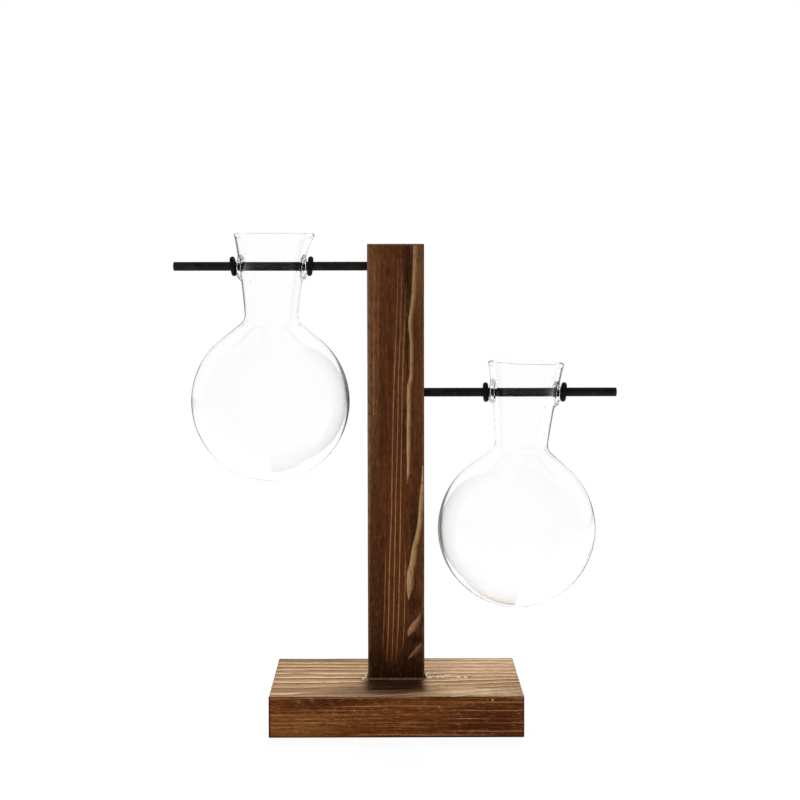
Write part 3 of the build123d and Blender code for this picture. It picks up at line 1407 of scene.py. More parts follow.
@dataclass(frozen=True)
class BlownGlass:
    """Clear lab glass: it all but vanishes face on, with a thin painted grey outline where it is seen edge
    on, standing in for the dark reflections of glass seen edge on.

    Fields:
        name: the finish's name.
        clear: the tint of the glass.
        bend: refractive index.
        gleam: how strongly it mirrors face on.
        line: between which facings the outline sets in.
        line_strength: how dark the outline gets.
        grey: the painted outline's tone.
        olive: its tone on the side where the post mirrors in it, a painted reflection of the post.
        leak: what is left of light that leaves the wall after running along inside it.
        lamp_share: how much lamplight it lets through.
    """

    name: str = "clear_blown_glass"
    clear: Colour = (0.992, 0.995, 0.994, 1.0)
    bend: float = 1.47
    gleam: float = 0.12
    line: tuple[float, float] = (0.8, 0.93)
    line_strength: float = 0.85
    grey: Colour = tone(92, 94, 96)
    olive: Colour = tone(84, 80, 66)
    leak: Colour = (0.6, 0.63, 0.63, 1.0)
    lamp_share: Colour = (0.93, 0.94, 0.94, 1.0)

    def material(self) -> bpy.types.Material:
        """Builds the finish.

        Returns:
            The material.
        """
        sheet = NodeSheet.named(self.name)
        ripple = sheet.noise(sheet.place, 0.06, 1.0, 0.4) * 0.16
        facing = sheet.node("ShaderNodeLayerWeight", inputs={"Blend": 0.5}, out="Facing")
        edge = sheet.node("ShaderNodeAttribute", {"attribute_name": EDGE}, out="Fac")
        mirrored = sheet.node("ShaderNodeAttribute", {"attribute_name": POST_SIDE}, out="Fac")
        smear = sheet.noise(sheet.place, 0.09, 2.0, 0.5)
        more = {"Transmission Weight": 1.0, "IOR": self.bend, "Normal": sheet.bump(ripple, 0.5)}
        more["Specular Tint"] = (self.gleam, self.gleam, self.gleam, 1.0)
        clear = sheet.surface(self.clear, 0.0, more)
        # Painted reflection: an opaque grey outline where the glass is seen edge on, olive where the post
        # mirrors in it.
        grey = sheet.mix(self.grey, self.olive, mirrored)
        outline = sheet.surface(grey, 0.3, {"Specular IOR Level": 0.0})
        edged = (facing + edge).step(*self.line) * (self.line_strength * 0.8 + smear * 0.3).least(0.97)
        inside = sheet.node("ShaderNodeNewGeometry", out="Backfacing") * facing.step(0.3, 0.5)
        leak = sheet.node("ShaderNodeBsdfTransparent", inputs={"Color": self.leak})
        lamp = sheet.node("ShaderNodeBsdfTransparent", inputs={"Color": self.lamp_share})
        glass = sheet.blend(inside, sheet.blend(edged, clear, outline), leak)
        return sheet.finish(sheet.blend(sheet.ray("Is Shadow Ray", "Is Diffuse Ray"), glass, lamp))


@dataclass(frozen=True)
class DriedGlue:
    """Wood glue that dried to a pale, slightly yellow skin."""

    name: str = "dried_wood_glue"
    colour: Colour = tone(214, 200, 178)
    stain: Colour = tone(150, 118, 88)

    def material(self) -> bpy.types.Material:
        """Builds the finish.

        Returns:
            The material.
        """
        sheet = NodeSheet.named(self.name)
        cloud = sheet.noise(sheet.place, 0.9, 3.0, 0.6)
        colour = sheet.mix(self.colour, self.stain, cloud.step(0.45, 0.7))
        more = {"Normal": sheet.bump(cloud * 0.1)}
        return sheet.finish(sheet.surface(colour, 0.3 + cloud * 0.25, more))


@dataclass
class Bulb:
    """One blown bulb: a sphere, a straight shoulder, a flared neck, a melted rim and two melted lips.

    Heights are above the sphere's middle, in mm.

    Fields:
        side: which rod it hangs on.
        hole_below_rim: how far the lips' middle is below the rim.
        lean: how far it leans, degrees, its top towards the rod's free end.
        seed: sets its own slight unevenness.
        rim_zone: height of the neck's top part that was reheated with the rim.
        rim_level: how far the rim was levelled back against the lean, degrees.
        flare: how much wider the rim was opened towards +X.
        crescent: height at which the painted reflection of the post is strongest on the bowl's side.
        row: height of a row of faces on the neck.
        bowl_row: height of a row on the bowl.
        clear_of_axis: how far from the bulb's axis the faces beside the rod begin.
        crease: edges flatter than this are shaded smooth, degrees.
    """

    side: Side
    hole_below_rim: float
    lean: float
    seed: float
    radius: float = 40.0
    wall: float = 1.3
    shoulder_angle: float = 39.0
    waist_radius: float = 13.15
    shoulder_round: float = 6.0
    neck_middle_radius: float = 15.8
    neck_middle_share: float = 0.54
    rim_radius: float = 19.2
    neck_length: float = 43.7
    rim_bead: float = 1.0
    hole_radius: float = 3.5
    lip_bead: float = 1.4
    lip_stand_off: float = 0.4
    patch_reach: float = 7.9
    rim_zone: float = 10.5
    rim_level: float = 0.9
    flare: float = 0.0
    crescent: float = 8.0
    sides: int = 128
    row: float = 0.82
    bowl_row: float = 1.9
    clear_of_axis: float = 8.0
    crease: float = 80.0

    def shoulder_start(self, inset: float) -> tuple[float, float]:
        """Radius and height where the sphere, moved in by inset, turns into the shoulder."""
        angle = math.radians(self.shoulder_angle)
        return (self.radius - inset) * math.sin(angle), (self.radius - inset) * math.cos(angle)

    def waist_corner(self, inset: float) -> tuple[float, float]:
        """Radius and height of the corner between shoulder and neck, before it is rounded.

        Args:
            inset: how far the wall is moved in from its outer face, mm.

        Returns:
            The radius and the height.
        """
        start_radius, start_height = self.shoulder_start(inset)
        radius = self.waist_radius - inset
        return radius, start_height + (start_radius - radius) * math.tan(math.radians(self.shoulder_angle))

    @property
    def waist_height(self) -> float:
        """Height of the waist."""
        return self.waist_corner(0)[1]

    @property
    def rim_height(self) -> float:
        """Height of the rim."""
        return self.waist_height + self.neck_length

    @property
    def hole_height(self) -> float:
        """Height of the lips' middle."""
        return self.rim_height - self.hole_below_rim

    def neck_arc(self) -> tuple[float, float, float]:
        """Centre and radius of the arc that the neck's outer face follows in section.

        Returns:
            The centre's distance from the axis, its height, and the radius.
        """
        waist = Vector((self.waist_radius, self.waist_height))
        middle_height = self.waist_height + self.neck_length * self.neck_middle_share
        middle = Vector((self.neck_middle_radius, middle_height))
        rim = Vector((self.rim_radius, self.rim_height))
        matrix = np.array([tuple(middle - waist), tuple(rim - waist)])
        lengths = np.array([spot.length_squared - waist.length_squared for spot in (middle, rim)])
        across, up = np.linalg.solve(matrix * 2, lengths)
        return float(across), float(up), math.hypot(self.waist_radius - across, self.waist_height - up)

    def neck_radius(self, height: float, inset: float) -> float:
        """Radius of the neck's wall at a height, moved in by inset."""
        across, up, reach = self.neck_arc()
        return across - math.sqrt(reach * reach - (height - up) ** 2) - inset

    def corner_round(self, inset: float) -> tuple[list[tuple[float, float]], float]:
        """The round between shoulder and neck, as an outline from the shoulder up, and where it ends.

        Args:
            inset: how far the wall is moved in from its outer face, mm.

        Returns:
            The outline and the height at which it ends.
        """
        corner = Vector(self.waist_corner(inset))
        start = Vector(self.shoulder_start(inset))
        climb = 0.5
        neck = Vector((self.neck_radius(corner.y + climb, inset), corner.y + climb))
        down, up = (start - corner).normalized(), (neck - corner).normalized()
        half = down.angle(up) / 2
        reach = (self.shoulder_round + inset) / math.tan(half)
        first = corner + down * reach
        last_height = corner.y + up.y * reach
        last = Vector((self.neck_radius(last_height, inset), last_height))
        steps = 9
        outline = []
        for number in range(steps + 1):
            share = number / steps
            point = first * (1 - share) ** 2 + corner * 2 * share * (1 - share) + last * share**2
            outline.append((point.x, point.y))
        return outline, last_height

    def neck_rows(self) -> list[float]:
        """The heights of the neck's rows, shared by both of its faces.

        Returns:
            The heights, from the bottom up.
        """
        low = max(self.corner_round(0)[1], self.corner_round(self.wall)[1]) + self.row
        high = self.rim_height - self.rim_bead
        count = round((high - low) / self.row)
        return [low + (high - low) * number / count for number in range(count + 1)]

    def wall_outline(self, inset: float) -> list[tuple[float, float]]:
        """One face of the wall from the bottom of the bowl to just below the rim.

        Args:
            inset: how far the wall is moved in from its outer face, mm.

        Returns:
            (radius, height) pairs, mm.
        """
        radius = self.radius - inset
        last_angle = math.pi - math.radians(self.shoulder_angle)
        rows = round(radius * last_angle / self.bowl_row)
        outline = []
        for number in range(rows + 1):
            angle = last_angle * number / rows
            outline.append((radius * math.sin(angle), -radius * math.cos(angle)))
        rounded, _ = self.corner_round(inset)
        start, first = Vector(outline[-1]), Vector(rounded[0])
        count = round((first - start).length / self.bowl_row)
        for number in range(1, count):
            point = start.lerp(first, number / count)
            outline.append((point.x, point.y))
        outline += rounded
        for height in self.neck_rows()[:-1]:
            outline.append((self.neck_radius(height, inset), height))
        return outline

    def outline(self) -> list[tuple[float, float]]:
        """The whole section: up the outside, over the rim's bead and down the inside.

        Returns:
            (radius, height) pairs, mm.
        """
        centre_radius = self.rim_radius - self.rim_bead
        centre_height = self.rim_height - self.rim_bead
        bead = []
        steps = 10
        for number in range(steps + 1):
            angle = math.pi * number / steps
            across = centre_radius + self.rim_bead * math.cos(angle)
            bead.append((across, centre_height + self.rim_bead * math.sin(angle)))
        return self.wall_outline(0) + bead + self.wall_outline(self.wall)[::-1]

    def lip_centre(self) -> float:
        """Distance from the bulb's axis to the middle of each lip."""
        return self.neck_radius(self.hole_height, 0) - self.wall / 2 + self.lip_stand_off

    def open_patches(self, piece: Piece) -> None:
        """Takes a square patch out of both walls on each side of the neck, where the lips go.

        Args:
            piece: the piece.
        """
        reach = self.patch_reach * MM
        height, beside = self.hole_height * MM, self.clear_of_axis * MM

        def in_patch(middle: Vector, _: Vector) -> bool:
            """True for a face of the neck beside the rod."""
            return abs(middle.z - height) < reach and abs(middle.y) < reach and abs(middle.x) > beside

        with editing(piece):
            pick_faces(piece, in_patch)
            bpy.ops.mesh.delete(type="FACE")

    def lip_rows(self, start: Vector, goal: Vector, sign: int) -> list[Vector]:
        """Where one point of a patch's outer border goes as the lip is drawn through to the inside.

        Args:
            start: the point on the outer wall, mm.
            goal: the point on the inner wall that it ends on, mm.
            sign: 1 for the lip on +X, -1 for the one on -X.

        Returns:
            One place for each row of the lip.
        """
        centre, height = self.lip_centre(), self.hole_height
        core = self.hole_radius + self.lip_bead
        turn = math.atan2(start.z - height, start.y)
        flat_turn = math.atan2(goal.z - height, goal.y)
        border = math.hypot(start.y, start.z - height)
        inner_border = math.hypot(goal.y, goal.z - height)

        def on_wall(distance: float, angle: float, inset: float) -> Vector:
            """The point of a wall at a distance and angle round the hole.

            Args:
                distance: distance from the hole's middle, mm.
                angle: angle round it, radians.
                inset: how far the wall is moved in from its outer face, mm.

            Returns:
                The point.
            """
            side, up = distance * math.cos(angle), height + distance * math.sin(angle)
            radius = self.neck_radius(up, inset)
            return Vector((math.sqrt(radius * radius - side * side), side, up))

        def blended(distance: float, angle: float, inset: float, face: float, share: float) -> Vector:
            """A point between the wall and the lip's flat face."""
            spot, pull = on_wall(distance, angle, inset), eased(share)
            return Vector((spot.x * (1 - pull) + face * pull, spot.y, spot.z))

        rows = []
        blend_start = core + self.lip_bead + 0.9
        for share in (0.34, 0.67, 1.0):
            rows.append(on_wall(border + (blend_start - border) * share, turn, 0))
        steps = 5
        for number in range(1, steps + 1):
            share = number / steps
            distance = blend_start + (core - blend_start) * share
            rows.append(blended(distance, turn, 0, centre + self.lip_bead, share))
        for number in range(1, 9):
            angle = math.pi * number / 9
            distance = core - self.lip_bead * math.sin(angle)
            across = centre + self.lip_bead * math.cos(angle)
            rows.append(Vector((across, distance * math.cos(turn), height + distance * math.sin(turn))))
        for number in range(steps + 1):
            share = 1 - number / steps
            distance = blend_start + (core - blend_start) * share
            rows.append(blended(distance, turn, self.wall, centre - self.lip_bead, share))
        for share in (0.34, 0.67):
            distance = blend_start + (inner_border - blend_start) * share
            rows.append(on_wall(distance, turn + (flat_turn - turn) * share, self.wall))
        rows.append(Vector((abs(goal.x), goal.y, goal.z)))
        return [Vector((sign * row.x, row.y, row.z)) for row in rows]

    def draw_lip(self, piece: Piece, sign: int) -> None:
        """Draws one lip from the outer wall's patch, over its bead, to the inner wall's patch.

        Args:
            piece: the piece.
            sign: 1 for the lip on +X, -1 for the one on -X.
        """
        with editing(piece):
            bpy.ops.mesh.select_mode(type="EDGE")
            bpy.ops.mesh.select_non_manifold(extend=False)
            loose = bmesh.from_edit_mesh(piece.data)
            tag = loose.verts.layers.int.new("lip_point")
            borders: dict[bool, list] = {True: [], False: []}
            for vert in loose.verts:
                place = vert.co / MM
                if not vert.select or place.x * sign < 0:
                    continue
                wall_middle = self.neck_radius(place.z, self.wall / 2)
                borders[math.hypot(place.x, place.y) > wall_middle].append(vert)
            outer, inner = borders[True], borders[False]
            paths = {}
            for number, vert in enumerate(outer, 1):
                place = vert.co / MM
                turn = math.atan2(place.y, place.x)

                def gap(other: bmesh.types.BMVert) -> float:
                    """How far an inner border point is from facing this outer one.

                    Args:
                        other: the inner border's point.

                    Returns:
                        The distance, mm.
                    """
                    spot = other.co / MM
                    swing = abs(math.remainder(math.atan2(spot.y, spot.x) - turn, math.tau))
                    return swing * self.waist_radius + abs(spot.z - place.z)

                goal = min(inner, key=gap).co / MM
                vert[tag] = number
                paths[number] = self.lip_rows(place, goal, sign)
            for edge in loose.edges:
                edge.select = edge.select and all(vert[tag] for vert in edge.verts)
            loose.select_flush_mode()
            bmesh.update_edit_mesh(piece.data)
            for row in range(len(paths[1])):
                bpy.ops.mesh.extrude_region_move()
                loose = bmesh.from_edit_mesh(piece.data)
                tag = loose.verts.layers.int["lip_point"]
                for vert in loose.verts:
                    if vert.select:
                        vert.co = paths[vert[tag]][row] * MM
                bmesh.update_edit_mesh(piece.data)
        only(piece)
        piece.data.attributes.remove(piece.data.attributes["lip_point"])
        weld(piece)

    def uneven(self, piece: Piece) -> None:
        """Gives the bowl the slight waviness of hand blowing, inwards only.

        Args:
            piece: the piece.
        """
        points = points_of(piece)
        x, y, z = points.T
        distance = np.linalg.norm(points, axis=1)
        turn, tilt = np.arctan2(y, x), np.arctan2(z, np.hypot(x, y))
        inner = distance < self.radius - self.wall / 2
        wave = np.sin(turn * 2 + self.seed + tilt * 2.1) * np.cos(tilt * 1.7 + self.seed)
        wave += 0.5 * np.sin(turn * 3 - self.seed * 2 + inner * 1.3 + tilt * 3.0)
        ease = np.clip((self.shoulder_start(0)[1] - 6 - z) / 14, 0, 1)
        ease *= np.clip((z + self.radius) / 10, 0, 1)
        sunk = (1.5 + wave) * 0.045 * ease * np.where(inner, 1.9, 1.0)
        set_points(piece, points * (1 - sunk / np.maximum(distance, 1.0))[:, None])

    def settle_rim(self, piece: Piece) -> None:
        """Levels the rim as it was melted and flares it a little to one side.

        Args:
            piece: the piece.
        """
        points = points_of(piece)
        climb = eased(np.clip((points[:, 2] - self.rim_height + self.rim_zone) / self.rim_zone, 0, 1))
        points[:, 2] += points[:, 0] * math.tan(math.radians(self.rim_level)) * climb
        side = np.clip(points[:, 0] / self.rim_radius, 0, 1) ** 1.5
        points[:, 0] += self.flare * climb * side
        set_points(piece, points)

    def mark_edges(self, piece: Piece) -> None:
        """Marks how soon the painted outline sets in: late on the inner wall, soon on neck, rim and lips,
        and on the bowl's side towards the post, where a painted reflection of the post shows.

        Args:
            piece: the piece.
        """
        points = points_of(piece)
        x, y, z = points.T
        across, reach = np.hypot(x, y), np.linalg.norm(points, axis=1)
        shoulder_height, neck_foot = self.shoulder_start(0)[1], self.waist_height - 4
        neck = np.clip((z - shoulder_height) / 12, 0, 1)
        outer_neck = np.array([self.neck_radius(min(height, self.rim_height), 0) for height in z])
        in_bowl = (z < neck_foot) & (reach < self.radius - self.wall * 0.7)
        in_neck = (z >= neck_foot) & (across < outer_neck - self.wall * 0.6)
        far = np.clip(x * self.side.value / np.maximum(across, 1), -1, 1)
        near = np.clip(-far * 1.4 - 0.2, 0, 1)
        belt = np.clip(1.2 - np.abs(z - self.crescent) / 24, 0, 1)
        bowl = near * belt * 0.17 - 0.1 * np.clip(-z / self.radius - 0.4, 0, 1)
        marks = bowl * (1 - neck) + neck * (0.05 + 0.14 * far)
        marks = marks - np.clip(1.4 - np.abs(z - shoulder_height - 2) / 12, 0, 1) * 0.08
        marks = np.where(in_bowl | in_neck, -0.5, marks)
        rim = np.clip((z - self.rim_height + self.rim_bead * 2) / 0.4, 0, 1)
        spread = np.hypot(y, z - self.hole_height)
        lips = np.clip((self.hole_radius + self.lip_bead * 2 + 0.4 - spread) / 0.4, 0, 1)
        lips *= np.abs(x) > self.waist_radius * 0.8
        melted = np.maximum(rim, lips)
        marks = marks * (1 - melted) + 0.06 * melted
        for name, values in ((EDGE, marks), (POST_SIDE, near * (1 - neck))):
            layer = piece.data.attributes.new(name, "FLOAT", "POINT")
            layer.data.foreach_set("value", values)

    def build(self, glass: bpy.types.Material) -> None:
        """Blows the bulb, melts its lips, hangs it in place and dresses it.

        Args:
            glass: the glass.
        """
        node = f"{self.side.word}_bulb"
        low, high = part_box(node)
        piece = turned(f"{self.side.word}_glass_bulb", self.outline(), self.sides)
        self.uneven(piece)
        self.open_patches(piece)
        for sign in (-1, 1):
            self.draw_lip(piece, sign)
        self.mark_edges(piece)
        self.settle_rim(piece)
        centre = Vector((high.x - self.radius * MM, (low.y + high.y) / 2, low.z + self.radius * MM))
        move(piece, Matrix.Translation(centre) @ Matrix.Rotation(math.radians(self.lean), 4, "Y"))
        install(piece, self.crease, glass, node, "blown_glass", node)


@dataclass
class Rod:
    """One steel rod, glued into the side of the post, its free end filed round.

    Fields:
        side: which side of the post it is on.
        end_round: round of its free end's edge, mm.
        file_insets: how far in the two filed steps of the end lie, as shares of the radius.
        file_steps: how deep the first lies and how far the second rises again, mm.
    """

    side: Side
    end_round: float = 0.5
    file_insets: tuple[float, float] = (0.45, 0.15)
    file_steps: tuple[float, float] = (-0.06, 0.04)
    sides: int = 64
    crease: float = 35.0
    body: str = "stand"

    def build(self, enamel: bpy.types.Material) -> None:
        """Builds the rod and dresses it.

        Args:
            enamel: the enamel.
        """
        node = f"{self.side.word}_rod"
        low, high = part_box(node)
        radius = (high.z - low.z) / 2
        middle, length = (low + high) / 2, high.x - low.x
        piece = bar(f"{self.side.word}_black_rod", middle, length, radius, self.sides)
        free = low.x if self.side is Side.LEFT else high.x

        def is_free_end(middle: Vector, normal: Vector) -> bool:
            """True for the face that closes the free end."""
            return abs(middle.x - free) < WELD and abs(normal.x) > 0.9

        def is_end_edge(first: Vector, second: Vector) -> bool:
            """True for the edge round the free end.

            Args:
                first: the edge's first end.
                second: its second end.

            Returns:
                Whether it is one.
            """
            for spot in (first, second):
                off_axis = math.hypot(spot.y - low.y - radius, spot.z - low.z - radius)
                if abs(spot.x - free) >= WELD or off_axis <= radius * 0.98:
                    return False
            return True

        with editing(piece):
            pick_edges(piece, is_end_edge)
            bpy.ops.mesh.bevel(offset=self.end_round * MM, segments=4, affect="EDGES")
            pick_faces(piece, is_free_end)
            for inset, rise in zip(self.file_insets, self.file_steps):
                bpy.ops.mesh.inset(thickness=radius * inset)
                bpy.ops.transform.translate(value=(self.side.value * rise * MM, 0, 0))
        install(piece, self.crease, enamel, self.body, "rod_black", node)


@dataclass
class RubberRing:
    """One moulded rubber ring, tipped on its rod, with the fine line where its mould closed."""

    side: Side
    seat: Seat
    tilt: float
    cord_radius: float = 1.325
    core_radius: float = 3.675
    mould_line: float = 0.05
    mould_width: float = 0.09
    sides: int = 96
    cord_sides: int = 28
    crease: float = 50.0

    def build(self, rubber: bpy.types.Material) -> None:
        """Builds the ring and dresses it.

        Args:
            rubber: the rubber.
        """
        node = f"{self.side.word}_{self.seat.word}_ring"
        low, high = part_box(node)
        outside = self.core_radius + self.cord_radius
        sizes = {"major_radius": self.core_radius * MM, "minor_radius": self.cord_radius * MM}
        sizes.update(major_segments=self.sides, minor_segments=self.cord_sides)
        piece = add(f"{node}_rubber", bpy.ops.mesh.primitive_torus_add, **sizes)

        def on_equator(first: Vector, second: Vector) -> bool:
            """True for the outermost edge loop."""
            return all(math.hypot(spot.x, spot.y) > (outside - 0.001) * MM for spot in (first, second))

        with editing(piece):
            pick_edges(piece, on_equator)
            bpy.ops.mesh.bevel(offset=self.mould_width * MM, segments=2, affect="EDGES")
            pick_edges(piece, on_equator)
            swell = 1 + self.mould_line / outside
            bpy.ops.transform.resize(value=(swell, swell, 1))
        direction = self.side.value * self.seat.value
        lie = Matrix.Rotation(math.radians(90 + direction * self.tilt), 4, "Y")
        move(piece, Matrix.Translation((low + high) / 2) @ lie)
        install(piece, self.crease, rubber, node, "ring_rubber", node)


@dataclass
class Screws:
    """The two countersunk wood screws that hold the post from under the board.

    Fields:
        outline: (radius, height) section of one screw, mm.
        slot: length, width and depth of the cross in its head, mm.
        slot_taper: how narrow the slot gets towards its bottom, as a share.
        thread: start height, end height, pitch and height of the thread, mm.
        thread_foot: how deep the thread's ridge is set into the core, mm.
        thread_half: half of the ridge's width at its foot, mm.
    """

    outline: Pairs = (
        (0.0, 1.0), (3.9, 1.0), (4.0, 1.1), (4.0, 1.5), (2.1, 3.4), (2.0, 3.6), (2.0, 22.8), (1.5, 23.2),
        (1.5, 46.0), (0.4, 50.9), (0.0, 51.0),
    )
    slot: Triple = (4.6, 1.1, 2.0)
    slot_taper: float = 0.62
    thread: tuple[float, float, float, float] = (24.0, 46.0, 1.8, 0.03)
    thread_foot: float = 0.3
    thread_half: float = 0.35
    crease: float = 35.0
    body: str = "stand"

    def one(self) -> Piece:
        """One screw, point up, on the frame's axis.

        Returns:
            The screw.
        """
        piece = turned("screw", self.outline, 48)
        length, width, depth = self.slot
        head = self.outline[0][1]
        for turn in (0.0, math.pi / 2):
            lie = {"location": (0, 0, head * MM), "rotation": (0, 0, turn)}
            sizes = (length * MM, width * MM, depth * 2 * MM)
            arm = add("slot", bpy.ops.mesh.primitive_cube_add, size=1, scale=sizes, **lie)
            with editing(arm):
                pick_faces(arm, lambda middle, normal: normal.z > 0.9)
                bpy.ops.transform.resize(value=(self.slot_taper, self.slot_taper, 1))
            cut(piece, arm)
        return piece

    def ridge(self) -> Piece:
        """The thread of one screw: a fine ridge wound up its core.

        Returns:
            The thread.
        """
        start, stop, pitch, height = self.thread
        core = self.outline[7][0]
        turns = (stop - start) / pitch
        steps = 20
        count = round(turns * steps)
        root, half = core - self.thread_foot, self.thread_half
        foot = Vector((root, 0, start))
        crest = Vector((core + height, 0, start + half))
        piece = drawn("ridge", [foot, crest, Vector((root, 0, start + 2 * half)), foot])
        with editing(piece, "SELECT"):
            bpy.ops.mesh.remove_doubles(threshold=WELD)
        only(piece)
        wind = piece.modifiers.new("wind", "SCREW")
        wind.axis = "Z"
        wind.angle = math.tau * count / steps
        wind.screw_offset = pitch * count / steps * MM
        wind.steps = wind.render_steps = count
        bpy.ops.object.modifier_apply(modifier=wind.name)
        with editing(piece, "SELECT"):
            bpy.ops.mesh.fill_holes(sides=0)
        weld(piece)
        return piece

    def build(self, zinc: bpy.types.Material) -> None:
        """Builds both screws and dresses them.

        Args:
            zinc: the zinc.
        """
        made = []
        for place in SCREW_PLACES:
            piece = join([self.one(), self.ridge()], "screw")
            move(piece, Matrix.Translation((place * MM, 0, 0)))
            made.append(piece)
        pair = join(made, "countersunk_screws")
        install(pair, self.crease, zinc, self.body, "screw_steel", "base_screws")


@dataclass(frozen=True)
class GlueDrop:
    """One dried drop: where it lies on the board, and its length, width and height, mm."""

    x: float
    y: float
    length: float
    width: float
    height: float
    turn: float


@dataclass
class Glue:
    """Drops of dried glue that were squeezed out round the post's foot."""

    drops: tuple[GlueDrop, ...] = (
        GlueDrop(15.2, -2.0, 1.5, 5.6, 1.5, 4),
        GlueDrop(16.6, -5.6, 2.6, 1.7, 0.5, 20),
        GlueDrop(16.2, 3.6, 1.8, 3.4, 0.8, -8),
        GlueDrop(19.4, 5.2, 3.8, 1.5, 0.4, 12),
        GlueDrop(22.6, -3.4, 3.0, 1.1, 0.3, -6),
        GlueDrop(27.0, 1.2, 4.2, 0.9, 0.25, 5),
        GlueDrop(31.6, -3.4, 2.4, 1.0, 0.25, -10),
        GlueDrop(35.4, -4.4, 2.6, 1.7, 0.35, 30),
        GlueDrop(36.6, -0.8, 1.6, 1.2, 0.3, 0),
        GlueDrop(-15.1, -3.0, 1.3, 4.4, 1.3, -4),
        GlueDrop(-15.4, 2.4, 1.2, 3.0, 0.8, 6),
        GlueDrop(-16.6, -6.4, 1.6, 1.3, 0.4, 0),
    )
    sink: float = 0.35
    crease: float = 60.0
    body: str = "stand"

    def build(self, glue: bpy.types.Material) -> None:
        """Builds the drops and dresses them.

        Args:
            glue: the glue.
        """
        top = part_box("base")[1].z
        made = []
        for number, drop in enumerate(self.drops):
            piece = add(
                "drop",
                bpy.ops.mesh.primitive_ico_sphere_add,
                subdivisions=4,
                radius=0.5,
                location=(drop.x * MM, drop.y * MM, top - self.sink * 0.5 * MM),
                rotation=(0, 0, math.radians(drop.turn)),
                scale=(drop.length * MM, drop.width * MM, (drop.height + self.sink) * 2 * MM),
            )
            self.ripple(piece, drop, number)
            made.append(piece)
        install(join(made, "dried_glue_drops"), self.crease, glue, self.body, None)

    def ripple(self, piece: Piece, drop: GlueDrop, number: int) -> None:
        """Makes one drop's outline uneven and flattens what lies inside the wood.

        Args:
            piece: the piece.
            drop: the drop.
            number: its number, which sets its outline.
        """
        points = points_of(piece)
        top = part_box("base")[1].z / MM
        across = points[:, :2] - (drop.x, drop.y)
        turn = np.arctan2(across[:, 1], across[:, 0])
        swell = 1 + 0.16 * np.sin(turn * 3 + number) + 0.1 * np.sin(turn * 5 + number * 2.3)
        points[:, :2] = across * swell[:, None] + (drop.x, drop.y)
        points[:, 2] = np.maximum(points[:, 2], top - self.sink)
        set_points(piece, points)


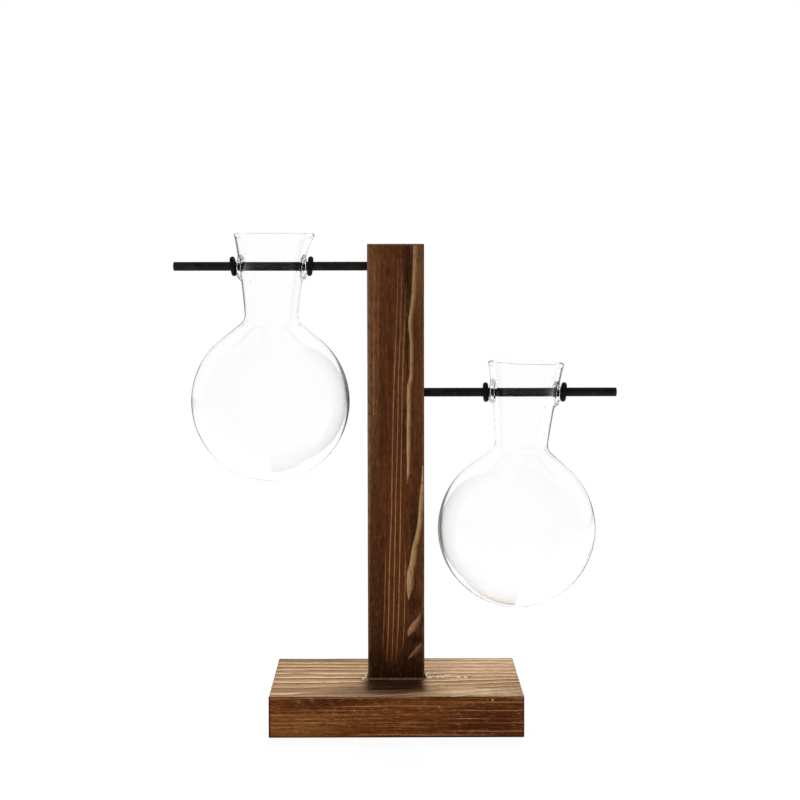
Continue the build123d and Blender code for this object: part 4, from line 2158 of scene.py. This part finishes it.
@dataclass
class Studio:
    """A pale floor, a white surround and soft lamps, with the camera where the photograph has it.

    Fields:
        eye: the camera's place, mm.
        pitch: how far it looks down, degrees.
        swing: how far it looks to the right, degrees.
        roll: how far it is tipped clockwise, degrees.
        lens: focal length, mm, on a 36 mm sensor.
        sky: how strongly the white surround lights the object.
        room: how bright the room in front is where it mirrors in a gloss.
        floor_size: length of the floor, mm.
        glow: how white the floor shows beside the object; its shadow takes the rest.
        glow_reach: from where to where it turns all white, mm from the middle.
    """

    eye: Triple = (-2.8, -969.1, 234.6)
    pitch: float = 4.28
    swing: float = 0.293
    roll: float = -0.085
    lens: float = 86.53
    sky: float = 0.5
    room: float = 0.1
    floor_size: float = 6000.0
    glow: float = 0.92
    glow_reach: tuple[float, float] = (230.0, 620.0)

    def place_camera(self) -> None:
        """Adds the camera and makes it the scene's own."""
        data = bpy.data.cameras.new("camera")
        data.lens = self.lens
        data.sensor_width = 36.0
        data.clip_end = 50.0
        camera = bpy.data.objects.new("camera", data)
        aim = Matrix.Rotation(math.radians(-self.swing), 4, "Z")
        aim @= Matrix.Rotation(math.radians(90 - self.pitch), 4, "X")
        aim @= Matrix.Rotation(math.radians(self.roll), 4, "Z")
        camera.matrix_world = Matrix.Translation(Vector(self.eye) * MM) @ aim
        bpy.context.scene.collection.objects.link(camera)
        bpy.context.scene.camera = camera

    def surround(self) -> None:
        """Makes the world white where it is seen, gently lit where it lights, and dim in front."""
        sheet = NodeSheet(bpy.data.worlds.new("surround"))
        _, back, up = sheet.split(sheet.node("ShaderNodeTexCoord", out="Generated"))
        mirrored = back.step(0.05, 0.5).most(up.step(0.75, 1.0) * 0.5) * (1 - self.room) + self.room
        seen = sheet.ray("Is Camera Ray", "Is Transmission Ray")
        gloss = sheet.ray("Is Glossy Ray") * (1 - seen)
        strength = seen + gloss * mirrored + (1 - seen.most(gloss)) * self.sky
        light = sheet.node("ShaderNodeBackground", inputs={"Color": (1, 1, 1, 1), "Strength": strength})
        bpy.context.scene.world = sheet.finish(light, "ShaderNodeOutputWorld")

    def floor(self) -> None:
        """Lays the pale floor, which shows white but keeps the object's shadow."""
        piece = add("studio_floor", bpy.ops.mesh.primitive_plane_add, size=self.floor_size * MM)
        sheet = NodeSheet.named("pale_floor")
        matte = sheet.node("ShaderNodeBsdfDiffuse", inputs={"Color": (0.86, 0.86, 0.86, 1)})
        white = sheet.node("ShaderNodeEmission", inputs={"Color": (1, 1, 1, 1), "Strength": 1.0})
        glow = sheet.span().step(*self.glow_reach) * (1 - self.glow) + self.glow
        share = sheet.ray("Is Camera Ray", "Is Transmission Ray") * glow
        paint(piece, sheet.finish(sheet.blend(share, matte, white)))

    @staticmethod
    def lamp(name: str, place: Triple, aim: Triple, size: tuple[float, float], watts: float) -> None:
        """Hangs one soft lamp.

        Args:
            name: its name.
            place: where it hangs, mm.
            aim: the point that it faces, mm.
            size: its width and height, mm.
            watts: its power.
        """
        data = bpy.data.lights.new(name, "AREA")
        data.shape = "RECTANGLE"
        data.size, data.size_y = size[0] * MM, size[1] * MM
        data.energy = watts
        lamp = bpy.data.objects.new(name, data)
        lamp.location = Vector(place) * MM
        lamp.rotation_euler = (Vector(aim) - Vector(place)).to_track_quat("-Z", "Y").to_euler()
        lamp.visible_camera = lamp.visible_transmission = lamp.visible_glossy = False
        bpy.context.scene.collection.objects.link(lamp)

    def light(self) -> None:
        """Hangs the lamps: one large one above and behind, one softer one in front."""
        middle = (0.0, 0.0, 120.0)
        self.lamp("back_light", (80.0, 900.0, 1100.0), middle, (700.0, 400.0), 26.0)
        self.lamp("front_fill", (-500.0, -1300.0, 700.0), middle, (1100.0, 900.0), 14.0)

    def build(self) -> None:
        """Sets up the camera, the surround, the floor and the lamps."""
        self.place_camera()
        self.surround()
        self.floor()
        self.light()
        bpy.context.scene.view_settings.view_transform = "Standard"


def main() -> None:
    """Builds the studio and every sub-assembly in order."""
    logging.basicConfig(level=logging.INFO, format="%(message)s")
    Studio().build()
    Stand().build()
    Screws().build(ZincPlate().material())
    Glue().build(DriedGlue().material())
    enamel, rubber, glass = ENAMEL.material(), RUBBER.material(), BlownGlass().material()
    for side in Side:
        Rod(side).build(enamel)
    tilts = {
        (Side.LEFT, Seat.OUTER): 7.0,
        (Side.LEFT, Seat.INNER): 5.0,
        (Side.RIGHT, Seat.INNER): 2.0,
        (Side.RIGHT, Seat.OUTER): 5.0,
    }
    for (side, seat), tilt in tilts.items():
        RubberRing(side, seat, tilt).build(rubber)
    Bulb(Side.LEFT, hole_below_rim=17.4, lean=0.9, seed=0.7, flare=2.2).build(glass)
    Bulb(Side.RIGHT, hole_below_rim=15.5, lean=3.15, seed=2.9, rim_level=1.5, crescent=-1.0).build(glass)


if __name__ == "__main__":
    main()
